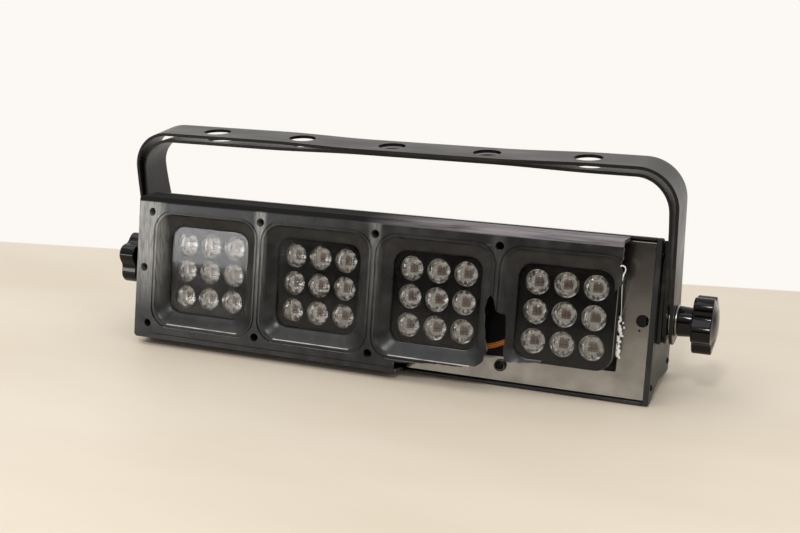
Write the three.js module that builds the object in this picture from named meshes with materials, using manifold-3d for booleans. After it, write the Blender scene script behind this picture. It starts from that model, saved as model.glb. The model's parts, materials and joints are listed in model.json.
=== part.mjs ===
// LED wash light: four pods of nine lenses in one long housing, hung on two nested bails.
// Millimetres, +Z up, the lenses face -Y. The body is drawn upright with the bare metal
// front plate at y = 0 and the middle of its height at z = 0, then leant back on its edges.
import * as THREE from 'three';
import { mergeVertices } from 'three/addons/utils/BufferGeometryUtils.js';
import Module from 'manifold-3d';

const wasm = await Module();
wasm.setup();

// Clearances and cutting
const seatGap = 0.3;
const overrun = 3;
const arcGrain = 1.1;
const boreSteps = 12;
const smallSteps = 8;
const weldDistance = 0.0001;

// Pods and lenses
const podCount = 4;
const mouthGap = 7.7;
const lensesPerSide = 3;
const lensGap = 2.5;
const lensBackRadius = 4.2;
const lensFrontDepth = 16.2;
const lensCrown = 1.2;
const lensPlateThickness = 1.6;
const lensSteps = 10;
const boreClearance = 0.3;

// Lens holder, window and board of one pod
const holderMargin = 5.25;
const holderCorner = 13;
const holderWall = 1.8;
const holderFace = 1.4;
const lensRecess = 0.3;
const windowThickness = 1.5;
const boardThickness = 1.6;
const boardInset = 0.5;
const emitterHalf = 1.8;
const emitterHeight = 1.2;
const padHeight = 4;
const padInset = 2;

// Bezel
const bezelDepth = 27.2;
const bezelEndMargin = 16.85;
const bezelHeightMargin = 13.3;
const bezelOverlap = 2.7;
const bezelDraft = 1.9;
const bezelWall = 2.4;
const bezelCorner = 2;
const borderWidth = 4;
const borderStep = 1;
const cornerPad = 17;
const mouthMargin = 8;
const mouthCorner = 15;
const lipWidth = 1.6;
const lipStep = 0.8;
const floorInset = 2.6;
const floorCorner = 11;
const funnelSteps = 3;
const bossRadius = 4.5;
const wellRadius = 3.4;
const screwRadius = 2;
const wellFloor = 3;
const screwRowInset = 12.8;
const endScrewInset = 13;
const midScrewInset = 8.1;
const stubHeight = 4;
const breakHoleSpan = 16.8;
const breakInset = 4.8;

// Housing, end caps and pivot plates
const housingHalfLength = 213.7;
const rimMargin = 2.5;
const rimReach = 3;
const rimStraight = 5;
const flareDepth = 38;
const flareHeight = 13;
const housingDepth = 87;
const sheet = 2;
const bendRadius = 3;
const endCapThickness = 4.3;
const endCapEdge = 0.8;
const pivotPlateThickness = 3.1;
const pivotPlateInset = 1.2;

// Front plate and heat sink
const plateThickness = 1.5;
const plateReturn = 4.6;
const plateBend = 2.5;
const cutoutEndMargin = 0.25;
const cutoutHeightMargin = 1.6;
const sinkInset = 2.7;
const sinkHeightMargin = 3.2;
const sinkBase = 4;
const finInset = 16.7;
const finFieldInset = 6.8;
const finCount = 12;
const finThickness = 1.8;
const finDepth = 30;

// Bails
const pivotDepth = 25.5;
const bailWidth = 38;
const strap = 2.5;
const outerBailReach = 121.3;
const innerBailReach = 113.9;
const outerBailTilt = THREE.MathUtils.degToRad(12.5);
const innerBailTilt = THREE.MathUtils.degToRad(9.7);
const outerBailCorner = 35;
const armTail = 17;
const armCorner = 14;
const bailHoleRadius = 11;
const bailHoleMargin = 33.5;
const bailHoleCount = 5;
const bailSideGap = 2.2;

// Pivot hardware
const studRadius = 4;
const studHoleGap = 0.4;
const washerRadius = 12;
const washerThickness = 1.5;
const nutHalfFlat = 6.5;
const nutHeight = 6.5;
const studTail = 2;
const knobNeckRadius = 11.8;
const knobNeckTaper = 0.8;
const knobNeckLength = 11.2;
const knobHeadRadius = 23;
const knobHeadThickness = 14.8;
const knobLobes = 5;
const knobScallop = 4.4;
const knobStepsPerLobe = 7;
const knobLobePower = 1.4;
const knobEdge = 1.4;
const knobCrownRadius = 18;
const knobCrownRise = 3.2;
const knobShoulderRadius = 12;
const knobShoulderShare = 0.65;
const knobTipRadius = 5;
const knobSocket = 12;
const knobTurns = { left: Math.PI / 2, right: -Math.PI / 2 };

// Rear panel and what it carries
const panelHalfHeight = 31;
const panelThickness = 1.5;
const panelLap = 6;
const panelCorner = 3;
const panelLeftMargin = 5;
const inletHalfWidth = 25;
const inletHalfHeight = 12;
const inletFlange = 3;
const inletBody = 22;
const inletBodyHalfWidth = 14;
const inletBodyHalfHeight = 11;
const inletSocketHalfWidth = 12;
const inletSocketHalfHeight = 8.4;
const inletSocketDepth = 16;
const inletPin = 2;
const inletPinSetback = 7;
const inletPinSpread = 7;
const inletFuseGap = 7;
const fuseCapRadius = 8;
const fuseCapHeight = 5;
const fuseBodyRadius = 6;
const fuseBodyDepth = 24;
const fuseSlot = 1.6;
const fuseDisplayGap = 1;
const displayHalfWidth = 18;
const displayHalfHeight = 7;
const displayRise = 10;
const displayWindowThickness = 2.4;
const displayBoardHalfWidth = 28;
const displayBoardHalfHeight = 24;
const displayBoardSetback = 9;
const postRadius = 2.5;
const postInset = 4;
const buttonPitch = 12;
const buttonDrop = 12;
const buttonRadius = 3.4;
const buttonProud = 2.4;
const buttonSkirt = 1.2;
const buttonSkirtHeight = 1.5;
const buttonTravel = 0.8;
const switchHalf = 3;
const switchHeight = 3.5;
const displayXlrGap = 12;
const panelRightMargin = 15;
const xlrPitch = 36;
const xlrHalfWidth = 13;
const xlrHalfHeight = 15.5;
const xlrCorner = 3;
const xlrFlange = 2.5;
const xlrRadius = 11.5;
const xlrBody = 22;
const xlrWell = 14;
const xlrWellRadius = 8.6;
const xlrPinRadius = 1.2;
const xlrPinCircle = 4;
const xlrPinSetback = 5.5;
const slotCount = 9;
const slotHalfWidth = 1.6;
const slotHalfHeight = 27;
const slotFieldGap = 14;
const slotEndGap = 15.7;

// Electronics inside
const boxEndGap = 11.7;
const supplyGap = 6;
const supplyHeightInset = 9.8;
const supplyDepth = 32;
const supplyLip = 1.2;
const supplyLidSide = 12.8;
const controlGap = 10;
const controlHeightInset = 13.8;
const controlSetback = 10;
const chipHalf = 9;
const chipHeight = 4;
const jumperRadius = 1.1;
const jumperRise = 2;
const jumperSteps = 12;
const jumperSides = 3;
const jumperLowHeight = -33;
const jumperHighHeight = -26;
const eyeInset = 38.7;
const eyeDrop = 15.8;
const eyeRadius = 8;
const eyeWire = 2.4;
const eyeWireSteps = 6;
const eyeFlange = 7;

// Sizes that follow from the housing's length: the pods share it, and the lenses share a pod
const bezelHalfLength = housingHalfLength + bezelOverlap;
const podPitch = (2 * (bezelHalfLength - bezelEndMargin) + mouthGap) / podCount;
const lastPod = ((podCount - 1) / 2) * podPitch;
const mouthHalf = (podPitch - mouthGap) / 2;
const holderHalf = mouthHalf - mouthMargin;
const lensPitch = (2 * (holderHalf - holderMargin)) / lensesPerSide;
const lensRadius = (lensPitch - lensGap) / 2;
const padHalf = holderHalf - padInset;
const boardHalf = holderHalf - boardInset;
const floorHalf = holderHalf - floorInset;
const bezelHalfHeight = mouthHalf + bezelHeightMargin;
const screwRowHeight = bezelHalfHeight - screwRowInset;
const rimHalfHeight = bezelHalfHeight + rimMargin;
const boxHalfHeight = rimHalfHeight - flareHeight;
const cutoutHalfLength = lastPod + holderHalf + cutoutEndMargin;
const cutoutHalfHeight = holderHalf + cutoutHeightMargin;
const sinkHalfLength = housingHalfLength - sinkInset;
const sinkHalfHeight = boxHalfHeight + sinkHeightMargin;
const finHalfLength = housingHalfLength - finInset;
const finField = boxHalfHeight - finFieldInset;
const panelSpan = (
  panelLeftMargin + 2 * inletHalfWidth + inletFuseGap + 2 * fuseCapRadius + fuseDisplayGap
  + 2 * displayBoardHalfWidth + displayXlrGap + 2 * xlrHalfWidth + xlrPitch + panelRightMargin
);
const panelHalfLength = panelSpan / 2;
const inletX = -panelHalfLength + panelLeftMargin + inletHalfWidth;
const fuseX = inletX + inletHalfWidth + inletFuseGap + fuseCapRadius;
const displayX = fuseX + fuseCapRadius + fuseDisplayGap + displayBoardHalfWidth;
const xlrX = displayX + displayBoardHalfWidth + displayXlrGap + xlrHalfWidth;
const slotPitch = (housingHalfLength - panelHalfLength - slotFieldGap - slotEndGap) / (slotCount - 1);
const boxEnd = housingHalfLength - boxEndGap;
const supplyHalfLength = (boxEnd - panelHalfLength - supplyGap) / 2;
const supplyHalfHeight = boxHalfHeight - supplyHeightInset;
const supplyX = supplyHalfLength - boxEnd;
const controlHalfLength = (boxEnd - panelHalfLength - controlGap) / 2;
const controlHalfHeight = boxHalfHeight - controlHeightInset;
const boardX = boxEnd - controlHalfLength;
const eyeX = housingHalfLength - eyeInset;
const eyeHeight = boxHalfHeight - eyeDrop;

// Depths of the layers of a pod, from the metal plate forwards (-Y)
const padFront = -padHeight;
const boardBack = padFront - seatGap;
const boardFront = boardBack - boardThickness;
const holderBack = boardFront - seatGap;
const emitterFront = boardFront - emitterHeight;
const lensBack = emitterFront - seatGap;
const lensApex = -lensFrontDepth;
const holderFront = lensApex - lensRecess;
const holderFaceBack = holderFront + holderFace;
const lensPlateFront = holderFaceBack + seatGap;
const windowBack = holderFront - seatGap;
const windowFront = windowBack - windowThickness;
const funnelBack = windowFront - seatGap;
const bezelFront = -bezelDepth;
const borderFront = bezelFront + borderStep;
const bezelBack = -rimReach - seatGap;

// Depths behind the plate (+Y)
const sinkFront = plateThickness + seatGap;
const sinkBack = sinkFront + sinkBase;
const finBack = sinkBack + finDepth;
const backInner = housingDepth - sheet;
const panelBack = housingDepth + seatGap;
const panelFace = panelBack + panelThickness;

// Places along the pivot axis, outwards from the middle of the length
const capInner = housingHalfLength + seatGap;
const capOuter = capInner + endCapThickness;
const pivotPlateInner = capOuter + seatGap;
const pivotPlateOuter = pivotPlateInner + pivotPlateThickness;
const innerStrapInner = pivotPlateOuter + seatGap * 2;
const innerStrapOuter = innerStrapInner + strap;
const outerStrapInner = innerStrapOuter + bailSideGap;
const outerStrapOuter = outerStrapInner + strap;
const washerInner = outerStrapOuter + seatGap;
const washerOuter = washerInner + washerThickness;
const knobInner = washerOuter + seatGap;
const knobHeadInner = knobInner + knobNeckLength;
const knobHeadOuter = knobHeadInner + knobHeadThickness;
const knobOuter = knobHeadOuter + knobCrownRise;
const nutOuter = housingHalfLength - sheet;
const nutInner = nutOuter - nutHeight;
const studInner = nutInner - studTail;
const studOuter = knobInner + knobSocket - seatGap;
const bailHolePitch = (2 * (outerStrapOuter - outerBailCorner - bailHoleMargin)) / (bailHoleCount - 1);
const podCentres = Array.from({ length: podCount }, (_, i) => (i - (podCount - 1) / 2) * podPitch);
const lensMiddle = (lensesPerSide - 1) / 2;
const lensPlaces = Array.from({ length: lensesPerSide }, (_, i) => (i - lensMiddle) * lensPitch);

// The body rests on the lower edge of its front rim and the lower edge of its back
const lean = Math.atan2(rimHalfHeight - boxHalfHeight, housingDepth + rimReach);

// Finishes
function finish(color, roughness, metalness, opacity = 1) {
  return new THREE.MeshStandardMaterial({ color, roughness, metalness, opacity, transparent: opacity < 1 });
}
const blackPaint = finish(0x262627, 0.5, 0.3);
const blackPlastic = finish(0x2e2f31, 0.42, 0);
const knobPlastic = finish(0x101011, 0.2, 0);
const bareSteel = finish(0xa9a5a2, 0.35, 0.9);
const zincSteel = finish(0xb4b4b0, 0.4, 0.9);
const blackAnodised = finish(0x141415, 0.5, 0.6);
const clearAcrylic = finish(0xe8e6e0, 0.08, 0, 0.35);
const boardWhite = finish(0xe4e2da, 0.5, 0);
const boardGreen = finish(0x1d4a2e, 0.5, 0);
const wireOrange = finish(0xd06a1a, 0.45, 0);
const displayRed = finish(0x2a0707, 0.15, 0);
const galvanised = finish(0x9c9d9b, 0.5, 0.8);

// A BufferGeometry as a solid, and a solid as a BufferGeometry
function solid(geometry) {
  const bare = geometry.clone();
  bare.deleteAttribute('normal');
  bare.deleteAttribute('uv');
  const merged = mergeVertices(bare, weldDistance);
  const index = merged.index.array;
  const kept = [];
  for (let i = 0; i < index.length; i += 3) {
    const [a, b, c] = [index[i], index[i + 1], index[i + 2]];
    if (a !== b && b !== c && c !== a) kept.push(a, b, c);
  }
  const mesh = new wasm.Mesh({
    numProp: 3,
    vertProperties: merged.attributes.position.array,
    triVerts: new Uint32Array(kept),
  });
  return new wasm.Manifold(mesh);
}

function geometryOf(manifold) {
  const mesh = manifold.getMesh();
  const geometry = new THREE.BufferGeometry();
  geometry.setAttribute('position', new THREE.BufferAttribute(new Float32Array(mesh.vertProperties), 3));
  geometry.setIndex(new THREE.BufferAttribute(new Uint32Array(mesh.triVerts), 1));
  return geometry;
}

function cut(body, tools) {
  return tools.reduce((rest, tool) => rest.subtract(tool), body);
}

function join(pieces) {
  return pieces.reduce((whole, piece) => whole.add(piece));
}

// A closed outline from corner points [a, b, radius]; a radius rounds its corner with an arc
function outline(corners, steps = 0) {
  const points = corners.flatMap(([a, b, radius = 0], i) => {
    const here = new THREE.Vector2(a, b);
    const [before, after] = [corners.at(i - 1), corners[(i + 1) % corners.length]].map(
      ([na, nb]) => new THREE.Vector2(na, nb).sub(here),
    );
    if (radius <= 0) return [here];
    return cornerArc(here, before, after, radius, steps || arcSteps(radius));
  });
  return new THREE.Shape(points);
}

// Larger radii get more steps
function arcSteps(radius) {
  return Math.max(2, Math.round(Math.sqrt(radius / arcGrain)));
}

function cornerArc(here, before, after, radius, steps) {
  const half = Math.acos(before.dot(after) / (before.length() * after.length())) / 2;
  const room = Math.min(before.length(), after.length()) / 2;
  const size = Math.min(radius, room * Math.tan(half));
  const toBefore = before.clone().normalize();
  const toAfter = after.clone().normalize();
  const centre = toBefore.clone().add(toAfter).setLength(size / Math.sin(half)).add(here);
  const start = toBefore.multiplyScalar(size / Math.tan(half)).add(here).sub(centre);
  const turn = Math.sign(after.cross(before)) * (Math.PI - 2 * half);
  return Array.from({ length: steps + 1 }, (_, i) => (
    start.clone().rotateAround(new THREE.Vector2(), (turn * i) / steps).add(centre)
  ));
}

function rectangle(halfWidth, halfHeight, radius = 0, steps = 0) {
  const places = [[1, -1], [1, 1], [-1, 1], [-1, -1]];
  return outline(places.map(([a, b]) => [a * halfWidth, b * halfHeight, radius]), steps);
}

// An outline in x and z, given its depth from yFront back to yBack
function alongY(shape, yFront, yBack) {
  const geometry = new THREE.ExtrudeGeometry(shape, { depth: yBack - yFront, bevelEnabled: false });
  geometry.rotateX(Math.PI / 2);
  geometry.translate(0, yBack, 0);
  return geometry;
}

// An outline in y and z, run from xLow to xHigh, with an optional edge chamfer
function alongX(shape, xLow, xHigh, edge = 0) {
  const geometry = new THREE.ExtrudeGeometry(shape, {
    depth: xHigh - xLow - 2 * edge,
    bevelEnabled: edge > 0,
    bevelThickness: edge,
    bevelSize: edge,
    bevelOffset: -edge,
    bevelSegments: 1,
  });
  geometry.translate(0, 0, xLow + edge);
  const toX = new THREE.Matrix4();
  toX.makeBasis(new THREE.Vector3(0, 1, 0), new THREE.Vector3(0, 0, 1), new THREE.Vector3(1, 0, 0));
  return geometry.applyMatrix4(toX);
}

function box(xLow, xHigh, yLow, yHigh, zLow, zHigh) {
  const geometry = new THREE.BoxGeometry(xHigh - xLow, yHigh - yLow, zHigh - zLow);
  geometry.translate((xLow + xHigh) / 2, (yLow + yHigh) / 2, (zLow + zHigh) / 2);
  return solid(geometry);
}

function rodY(radius, x, z, yLow, yHigh, steps = boreSteps) {
  const geometry = new THREE.CylinderGeometry(radius, radius, yHigh - yLow, steps);
  geometry.translate(x, (yLow + yHigh) / 2, z);
  return solid(geometry);
}

function rodX(radius, xLow, xHigh, steps = boreSteps, radiusHigh = radius) {
  const geometry = new THREE.CylinderGeometry(radiusHigh, radius, xHigh - xLow, steps);
  geometry.rotateZ(-Math.PI / 2);
  geometry.translate((xLow + xHigh) / 2, 0, 0);
  return solid(geometry);
}

// A solid through outlines of like point counts, each { shape, y }, listed from front to back
function loft(sections) {
  const rings = sections.map(({ shape }) => shape.getPoints(1));
  const size = rings[0].length;
  const positions = rings.flatMap((ring, k) => ring.flatMap((point) => [point.x, sections[k].y, point.y]));
  const faces = [];
  for (let k = 0; k + 1 < rings.length; k += 1) {
    for (let i = 0; i < size; i += 1) {
      const [a, b] = [k * size + i, k * size + ((i + 1) % size)];
      faces.push(a, a + size, b, b, a + size, b + size);
    }
  }
  const last = (rings.length - 1) * size;
  const [front, back] = [rings[0], rings.at(-1)].map((ring) => THREE.ShapeUtils.triangulateShape(ring, []));
  front.forEach(([a, b, c]) => faces.push(a, b, c));
  back.forEach(([a, b, c]) => faces.push(last + a, last + c, last + b));
  const geometry = new THREE.BufferGeometry();
  geometry.setAttribute('position', new THREE.Float32BufferAttribute(positions, 3));
  geometry.setIndex(faces);
  return solid(geometry);
}

function shiftedX(manifold, x) {
  return manifold.translate([x, 0, 0]);
}

// The side profile in y and z from the upper front round the back to the lower front
function sideCorners(inset, frontInset, radius = 0) {
  const upper = [
    [-rimReach + frontInset, rimHalfHeight - inset],
    [rimStraight, rimHalfHeight - inset],
    [flareDepth, boxHalfHeight - inset],
    [housingDepth - inset, boxHalfHeight - inset, radius],
  ];
  const lower = upper.map(([y, z, r]) => [y, -z, r]).reverse();
  return [...upper, ...lower];
}

function sideOutline(inset, radius) {
  return outline(sideCorners(inset, inset, radius));
}

// Housing: one folded sheet, open to the front and at both ends
function housingShell() {
  const outside = sideCorners(0, 0, bendRadius);
  const inside = sideCorners(sheet, 0, bendRadius - sheet).reverse();
  const shell = solid(alongX(outline([...outside, ...inside]), -housingHalfLength, housingHalfLength));
  const openings = [
    box(
      -panelHalfLength + panelLap, panelHalfLength - panelLap, backInner - overrun, housingDepth + overrun,
      -panelHalfHeight + panelLap, panelHalfHeight - panelLap,
    ),
  ];
  for (let i = 0; i < slotCount; i += 1) {
    const x = panelHalfLength + slotFieldGap + i * slotPitch;
    [-x, x].forEach((middle) => openings.push(ventSlot(middle)));
  }
  return cut(shell, [...openings, eyeHole()]);
}

function ventSlot(x) {
  const [low, high] = [backInner - overrun, housingDepth + overrun];
  return box(x - slotHalfWidth, x + slotHalfWidth, low, high, -slotHalfHeight, slotHalfHeight);
}

function eyeHole() {
  return rodY(eyeWire + seatGap, eyeX, eyeHeight, backInner - overrun, housingDepth + overrun);
}

// Cast end cap of the same profile, with its pivot hole
function endCap(side) {
  const plate = solid(alongX(sideOutline(0, bendRadius), capInner, capOuter, endCapEdge));
  return mirrored(cut(plate, [pivotHole(capInner, capOuter)]), side);
}

function pivotHole(xLow, xHigh) {
  return rodX(studRadius + studHoleGap, xLow - overrun, xHigh + overrun).translate([0, pivotDepth, 0]);
}

// Doubling plate outside the end cap; its top follows the cap's profile
function pivotPlate(side) {
  const [inner, outer] = [pivotPlateInner - overrun, pivotPlateOuter + overrun];
  const [front, back] = [pivotDepth - bailWidth / 2, pivotDepth + bailWidth / 2];
  const field = box(inner, outer, front, back, -armTail, rimHalfHeight);
  const plate = solid(alongX(sideOutline(pivotPlateInset, 0), pivotPlateInner, pivotPlateOuter));
  return mirrored(cut(plate.intersect(field), [pivotHole(pivotPlateInner, pivotPlateOuter)]), side);
}

function mirrored(manifold, side) {
  return side > 0 ? manifold : manifold.mirror([1, 0, 0]);
}

// Bare metal plate with folded edges and one long cut-out for the four pods
function frontPlate() {
  const half = rimHalfHeight - sheet - seatGap;
  const corners = [
    [0, -half, plateBend],
    [plateReturn, -half],
    [plateReturn, -half + plateThickness],
    [plateThickness, -half + plateThickness, plateBend - plateThickness],
    [plateThickness, half - plateThickness, plateBend - plateThickness],
    [plateReturn, half - plateThickness],
    [plateReturn, half],
    [0, half, plateBend],
  ];
  const plate = solid(alongX(outline(corners), -housingHalfLength, housingHalfLength));
  const [w, h] = [cutoutHalfLength, cutoutHalfHeight];
  const cutout = box(-w, w, -overrun, plateReturn + overrun, -h, h);
  const holes = plateHoles().map(([x, z]) => (
    rodY(bossRadius + seatGap, x, z, -overrun, plateThickness + overrun, smallSteps)
  ));
  return cut(plate, [cutout, ...holes]);
}

// Screw places: the seams and the left corners, and the middle of each end
function seamHoles() {
  const places = [];
  for (let i = 1; i < podCount; i += 1) {
    const x = (i - podCount / 2) * podPitch;
    places.push([x, -screwRowHeight], [x, screwRowHeight]);
  }
  return places;
}

function endHoles() {
  const corner = -bezelHalfLength + endScrewInset;
  return [[corner, -screwRowHeight], [corner, screwRowHeight], [-bezelHalfLength + midScrewInset, 0]];
}

function plateHoles() {
  return [...seamHoles(), ...endHoles(), [bezelHalfLength - midScrewInset, 0]];
}

// Bezel: one moulding with four funnels, broken away at its lower right and right end
function bezel() {
  const outer = loft([
    { shape: plateau(borderWidth + lipStep), y: bezelFront },
    { shape: plateau(borderWidth), y: borderFront },
    { shape: plateau(0), y: borderFront },
    { shape: skirt(bezelDraft), y: bezelBack },
  ]);
  const cavity = loft([
    { shape: skirt(-bezelWall), y: bezelFront + bezelWall + borderStep },
    { shape: skirt(bezelDraft - bezelWall), y: bezelBack + overrun },
  ]);
  const funnels = podCentres.map((x) => shiftedX(funnel(bezelWall, 0), x));
  const throats = podCentres.map((x) => shiftedX(funnel(0, overrun), x));
  const rebates = podCentres.map((x) => shiftedX(lipRebate(), x));
  const whole = cut(join([cut(outer, [cavity]), ...funnels]), [...throats, ...rebates]);
  const broken = brokenAway();
  return cut(screwed(whole, [...seamHoles(), ...endHoles()]), [broken]);
}

// The face outline inside its border; its corners are cut off around the corner screws
function plateau(inset) {
  const [w, h] = [bezelHalfLength - inset, bezelHalfHeight - inset];
  const c = inset > 0 ? cornerPad : bezelCorner;
  const corners = [
    [w, -h + c], [w, h - c], [w - c, h], [-w + c, h], [-w, h - c], [-w, -h + c], [-w + c, -h], [w - c, -h],
  ];
  return outline(corners);
}

function skirt(grow) {
  const [w, h, c] = [bezelHalfLength + grow, bezelHalfHeight + grow, bezelCorner];
  const corners = [
    [w, -h + c], [w, h - c], [w - c, h], [-w + c, h], [-w, h - c], [-w, -h + c], [-w + c, -h], [w - c, -h],
  ];
  return outline(corners);
}

// One funnel about x = 0; grow thickens it outwards, reach runs it past both ends
function funnel(grow, reach) {
  const slope = (mouthHalf - floorHalf) / (funnelBack - bezelFront);
  const section = (half, corner) => rectangle(half + grow, half + grow, corner + grow, funnelSteps);
  return loft([
    { shape: section(mouthHalf + slope * reach, mouthCorner), y: bezelFront - reach },
    { shape: section(floorHalf - slope * reach, floorCorner), y: funnelBack + reach },
  ]);
}

// A shallow step round each mouth
function lipRebate() {
  const edge = rectangle(mouthHalf + lipWidth, mouthHalf + lipWidth, mouthCorner + lipWidth);
  return solid(alongY(edge, bezelFront - overrun, bezelFront + lipStep));
}

// Bosses behind the face, bored with a wide well for the screw head
function screwed(body, places) {
  const rods = (radius, yLow, yHigh) => places.map(([x, z]) => rodY(radius, x, z, yLow, yHigh, smallSteps));
  const bosses = rods(bossRadius, borderFront + borderStep, sinkFront - seatGap);
  const wells = rods(wellRadius, bezelFront - overrun, -wellFloor);
  const bores = rods(screwRadius, -wellFloor - overrun, sinkFront + overrun);
  return cut(join([body, ...bosses]), [...wells, ...bores]);
}

// What broke off, seen from the front: the tear under the third pod, the hole between the
// third and fourth pods, the walls below and right of the fourth pod, and the right end
function brokenAway() {
  const seam = podPitch;
  const third = podCentres[2];
  const fourth = podCentres[3];
  const lip = -mouthHalf - lipWidth;
  const beyond = bezelHalfHeight + bezelDraft + overrun;
  const endX = fourth + mouthHalf - breakInset;
  const tearShares = [
    [-0.61, 1.05], [-0.5, 1.06], [-0.02, 1.01], [0.22, 1.0], [0.47, 1.0], [0.79, 0.955], [0.9, 0.9],
  ];
  const holeShares = [
    [-0.24, -0.7], [-0.38, -0.55], [-0.44, -0.42], [-0.52, -0.21], [-0.55, 0], [-0.46, 0.12],
    [-0.23, 0.235], [-0.04, 0.08], [0.08, -0.055], [0.42, -0.075], [0.48, -0.115], [0.52, -0.44],
    [0.48, -0.6], [0.47, -0.71],
  ];
  const ledgeShares = [[-0.88, -0.845], [-0.83, -0.853], [-0.6, -0.838], [-0.31, -0.817], [-0.25, -0.72]];
  const upperShares = [[0.76, 0.46], [0.92, 0.61], [0.935, 0.7], [0.87, 0.9]];
  const points = [
    [third + mouthHalf * tearShares[0][0], -beyond],
    ...tearShares.map(([u, v]) => [third + mouthHalf * u, lip * v]),
    ...holeShares.map(([u, v]) => [seam + breakHoleSpan * u, mouthHalf * v]),
    ...ledgeShares.map(([u, v]) => [fourth + mouthHalf * u, mouthHalf * v]),
    ...upperShares.map(([u, v]) => [fourth + mouthHalf * u, mouthHalf * v]),
    [endX, mouthHalf + lipWidth],
    [endX, beyond],
    [bezelHalfLength + bezelDraft + overrun, beyond],
    [bezelHalfLength + bezelDraft + overrun, -beyond],
  ];
  return solid(alongY(outline(points), bezelFront - overrun, sinkFront));
}

// The foot of a broken boss, still held in the plate by its screw
function bossStub() {
  const [low, high] = [-stubHeight, sinkFront - seatGap];
  const ring = rodY(bossRadius, podPitch, -screwRowHeight, low, high, smallSteps);
  const bore = rodY(screwRadius, podPitch, -screwRowHeight, low - overrun, high + overrun, smallSteps);
  return cut(ring, [bore]);
}

// Pod pieces, each drawn about x = 0
function podWindow() {
  return solid(alongY(rectangle(holderHalf, holderHalf, holderCorner), windowFront, windowBack));
}

function lensHolder() {
  const block = solid(alongY(rectangle(holderHalf, holderHalf, holderCorner), holderFront, holderBack));
  const inner = rectangle(holderHalf - holderWall, holderHalf - holderWall, holderCorner - holderWall);
  const pocket = solid(alongY(inner, holderFaceBack, holderBack + overrun));
  const bores = lensGrid((x, z) => (
    rodY(lensRadius + boreClearance, x, z, holderFront - overrun, holderFaceBack + overrun, lensSteps)
  ));
  return cut(block, [pocket, ...bores]);
}

function lensGrid(make) {
  return lensPlaces.flatMap((z) => lensPlaces.map((x) => make(x, z)));
}

function lensArray() {
  const half = holderHalf - holderWall - seatGap;
  const corner = holderCorner - holderWall - seatGap;
  const plateBack = lensPlateFront + lensPlateThickness;
  const plate = solid(alongY(rectangle(half, half, corner), lensPlateFront, plateBack));
  const shoulder = lensApex + lensCrown;
  const profile = [
    [0, lensApex],
    [lensRadius, shoulder],
    [lensRadius, plateBack],
    [lensBackRadius, lensBack],
    [0, lensBack],
  ];
  const points = profile.map(([r, y]) => new THREE.Vector2(r, y));
  const lens = solid(new THREE.LatheGeometry(points, lensSteps));
  return join([plate, ...lensGrid((x, z) => lens.translate([x, 0, z]))]);
}

function ledBoard() {
  const board = box(-boardHalf, boardHalf, boardFront, boardBack, -padHalf, padHalf);
  const emitters = lensGrid((x, z) => box(
    x - emitterHalf, x + emitterHalf, emitterFront, boardBack, z - emitterHalf, z + emitterHalf,
  ));
  return join([board, ...emitters]);
}

// Heat sink: a base with fins along it, and four pads that reach through the plate to the boards
function heatSink() {
  const finPitch = (2 * finField) / (finCount - 1);
  const fins = Array.from({ length: finCount }, (_, i) => {
    const low = -finField + i * finPitch - finThickness / 2;
    return box(-finHalfLength, finHalfLength, sinkFront, finBack, low, low + finThickness);
  });
  const base = box(-sinkHalfLength, sinkHalfLength, sinkFront, sinkBack, -sinkHalfHeight, sinkHalfHeight);
  const pads = podCentres.map((x) => box(x - padHalf, x + padHalf, padFront, sinkBack, -padHalf, padHalf));
  return join([base, ...fins, ...pads]);
}

// Wire link between the facing edges of two neighbouring boards, bowed forwards
function jumper() {
  const start = boardHalf + 2 * seatGap;
  const end = podPitch - start;
  const level = (boardFront + boardBack) / 2;
  const crest = level - jumperRise;
  const route = new THREE.CatmullRomCurve3([
    new THREE.Vector3(start, level, jumperLowHeight),
    new THREE.Vector3(start + jumperRise, level - jumperRise / 2, jumperLowHeight),
    new THREE.Vector3((start + end) / 2, crest, (jumperLowHeight + jumperHighHeight) / 2),
    new THREE.Vector3(end - jumperRise, level - jumperRise / 2, jumperHighHeight),
    new THREE.Vector3(end, level, jumperHighHeight),
  ]);
  const section = new THREE.Shape();
  section.absarc(0, 0, jumperRadius, 0, 2 * Math.PI);
  const detail = { steps: jumperSteps, curveSegments: jumperSides };
  return solid(new THREE.ExtrudeGeometry(section, { ...detail, extrudePath: route }));
}

// A bail about its own pivot at y = 0, z = 0: a strap folded into a wide U
function bail(armOuter, reach, corner) {
  const [w, t] = [armOuter, strap];
  const foot = -armTail;
  const corners = [
    [w, foot], [w, reach, corner], [-w, reach, corner], [-w, foot],
    [-w + t, foot], [-w + t, reach - t, corner - t], [w - t, reach - t, corner - t], [w - t, foot],
  ];
  const strip = solid(alongY(outline(corners.slice().reverse()), -bailWidth / 2, bailWidth / 2));
  const field = outline([
    [-bailWidth / 2, foot, armCorner], [bailWidth / 2, foot, armCorner],
    [bailWidth / 2, reach + overrun], [-bailWidth / 2, reach + overrun],
  ]);
  const trimmed = strip.intersect(solid(alongX(field, -w - overrun, w + overrun)));
  const middle = (bailHoleCount - 1) / 2;
  const places = Array.from({ length: bailHoleCount }, (_, i) => (i - middle) * bailHolePitch);
  const holes = places.map((x) => bailHole(x, reach));
  const pivot = rodX(studRadius + studHoleGap, w - t - overrun, w + overrun);
  const pivots = [-1, 1].map((side) => mirrored(pivot, side));
  return cut(trimmed, [...holes, ...pivots]);
}

function bailHole(x, reach) {
  const [radius, length] = [bailHoleRadius, strap + 2 * overrun];
  const geometry = new THREE.CylinderGeometry(radius, radius, length, boreSteps);
  geometry.rotateX(Math.PI / 2);
  geometry.translate(x, 0, reach - strap / 2);
  return solid(geometry);
}

// Pivot hardware about the pivot axis, drawn for the right-hand end
function stud() {
  return rodX(studRadius, studInner, studOuter);
}

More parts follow.
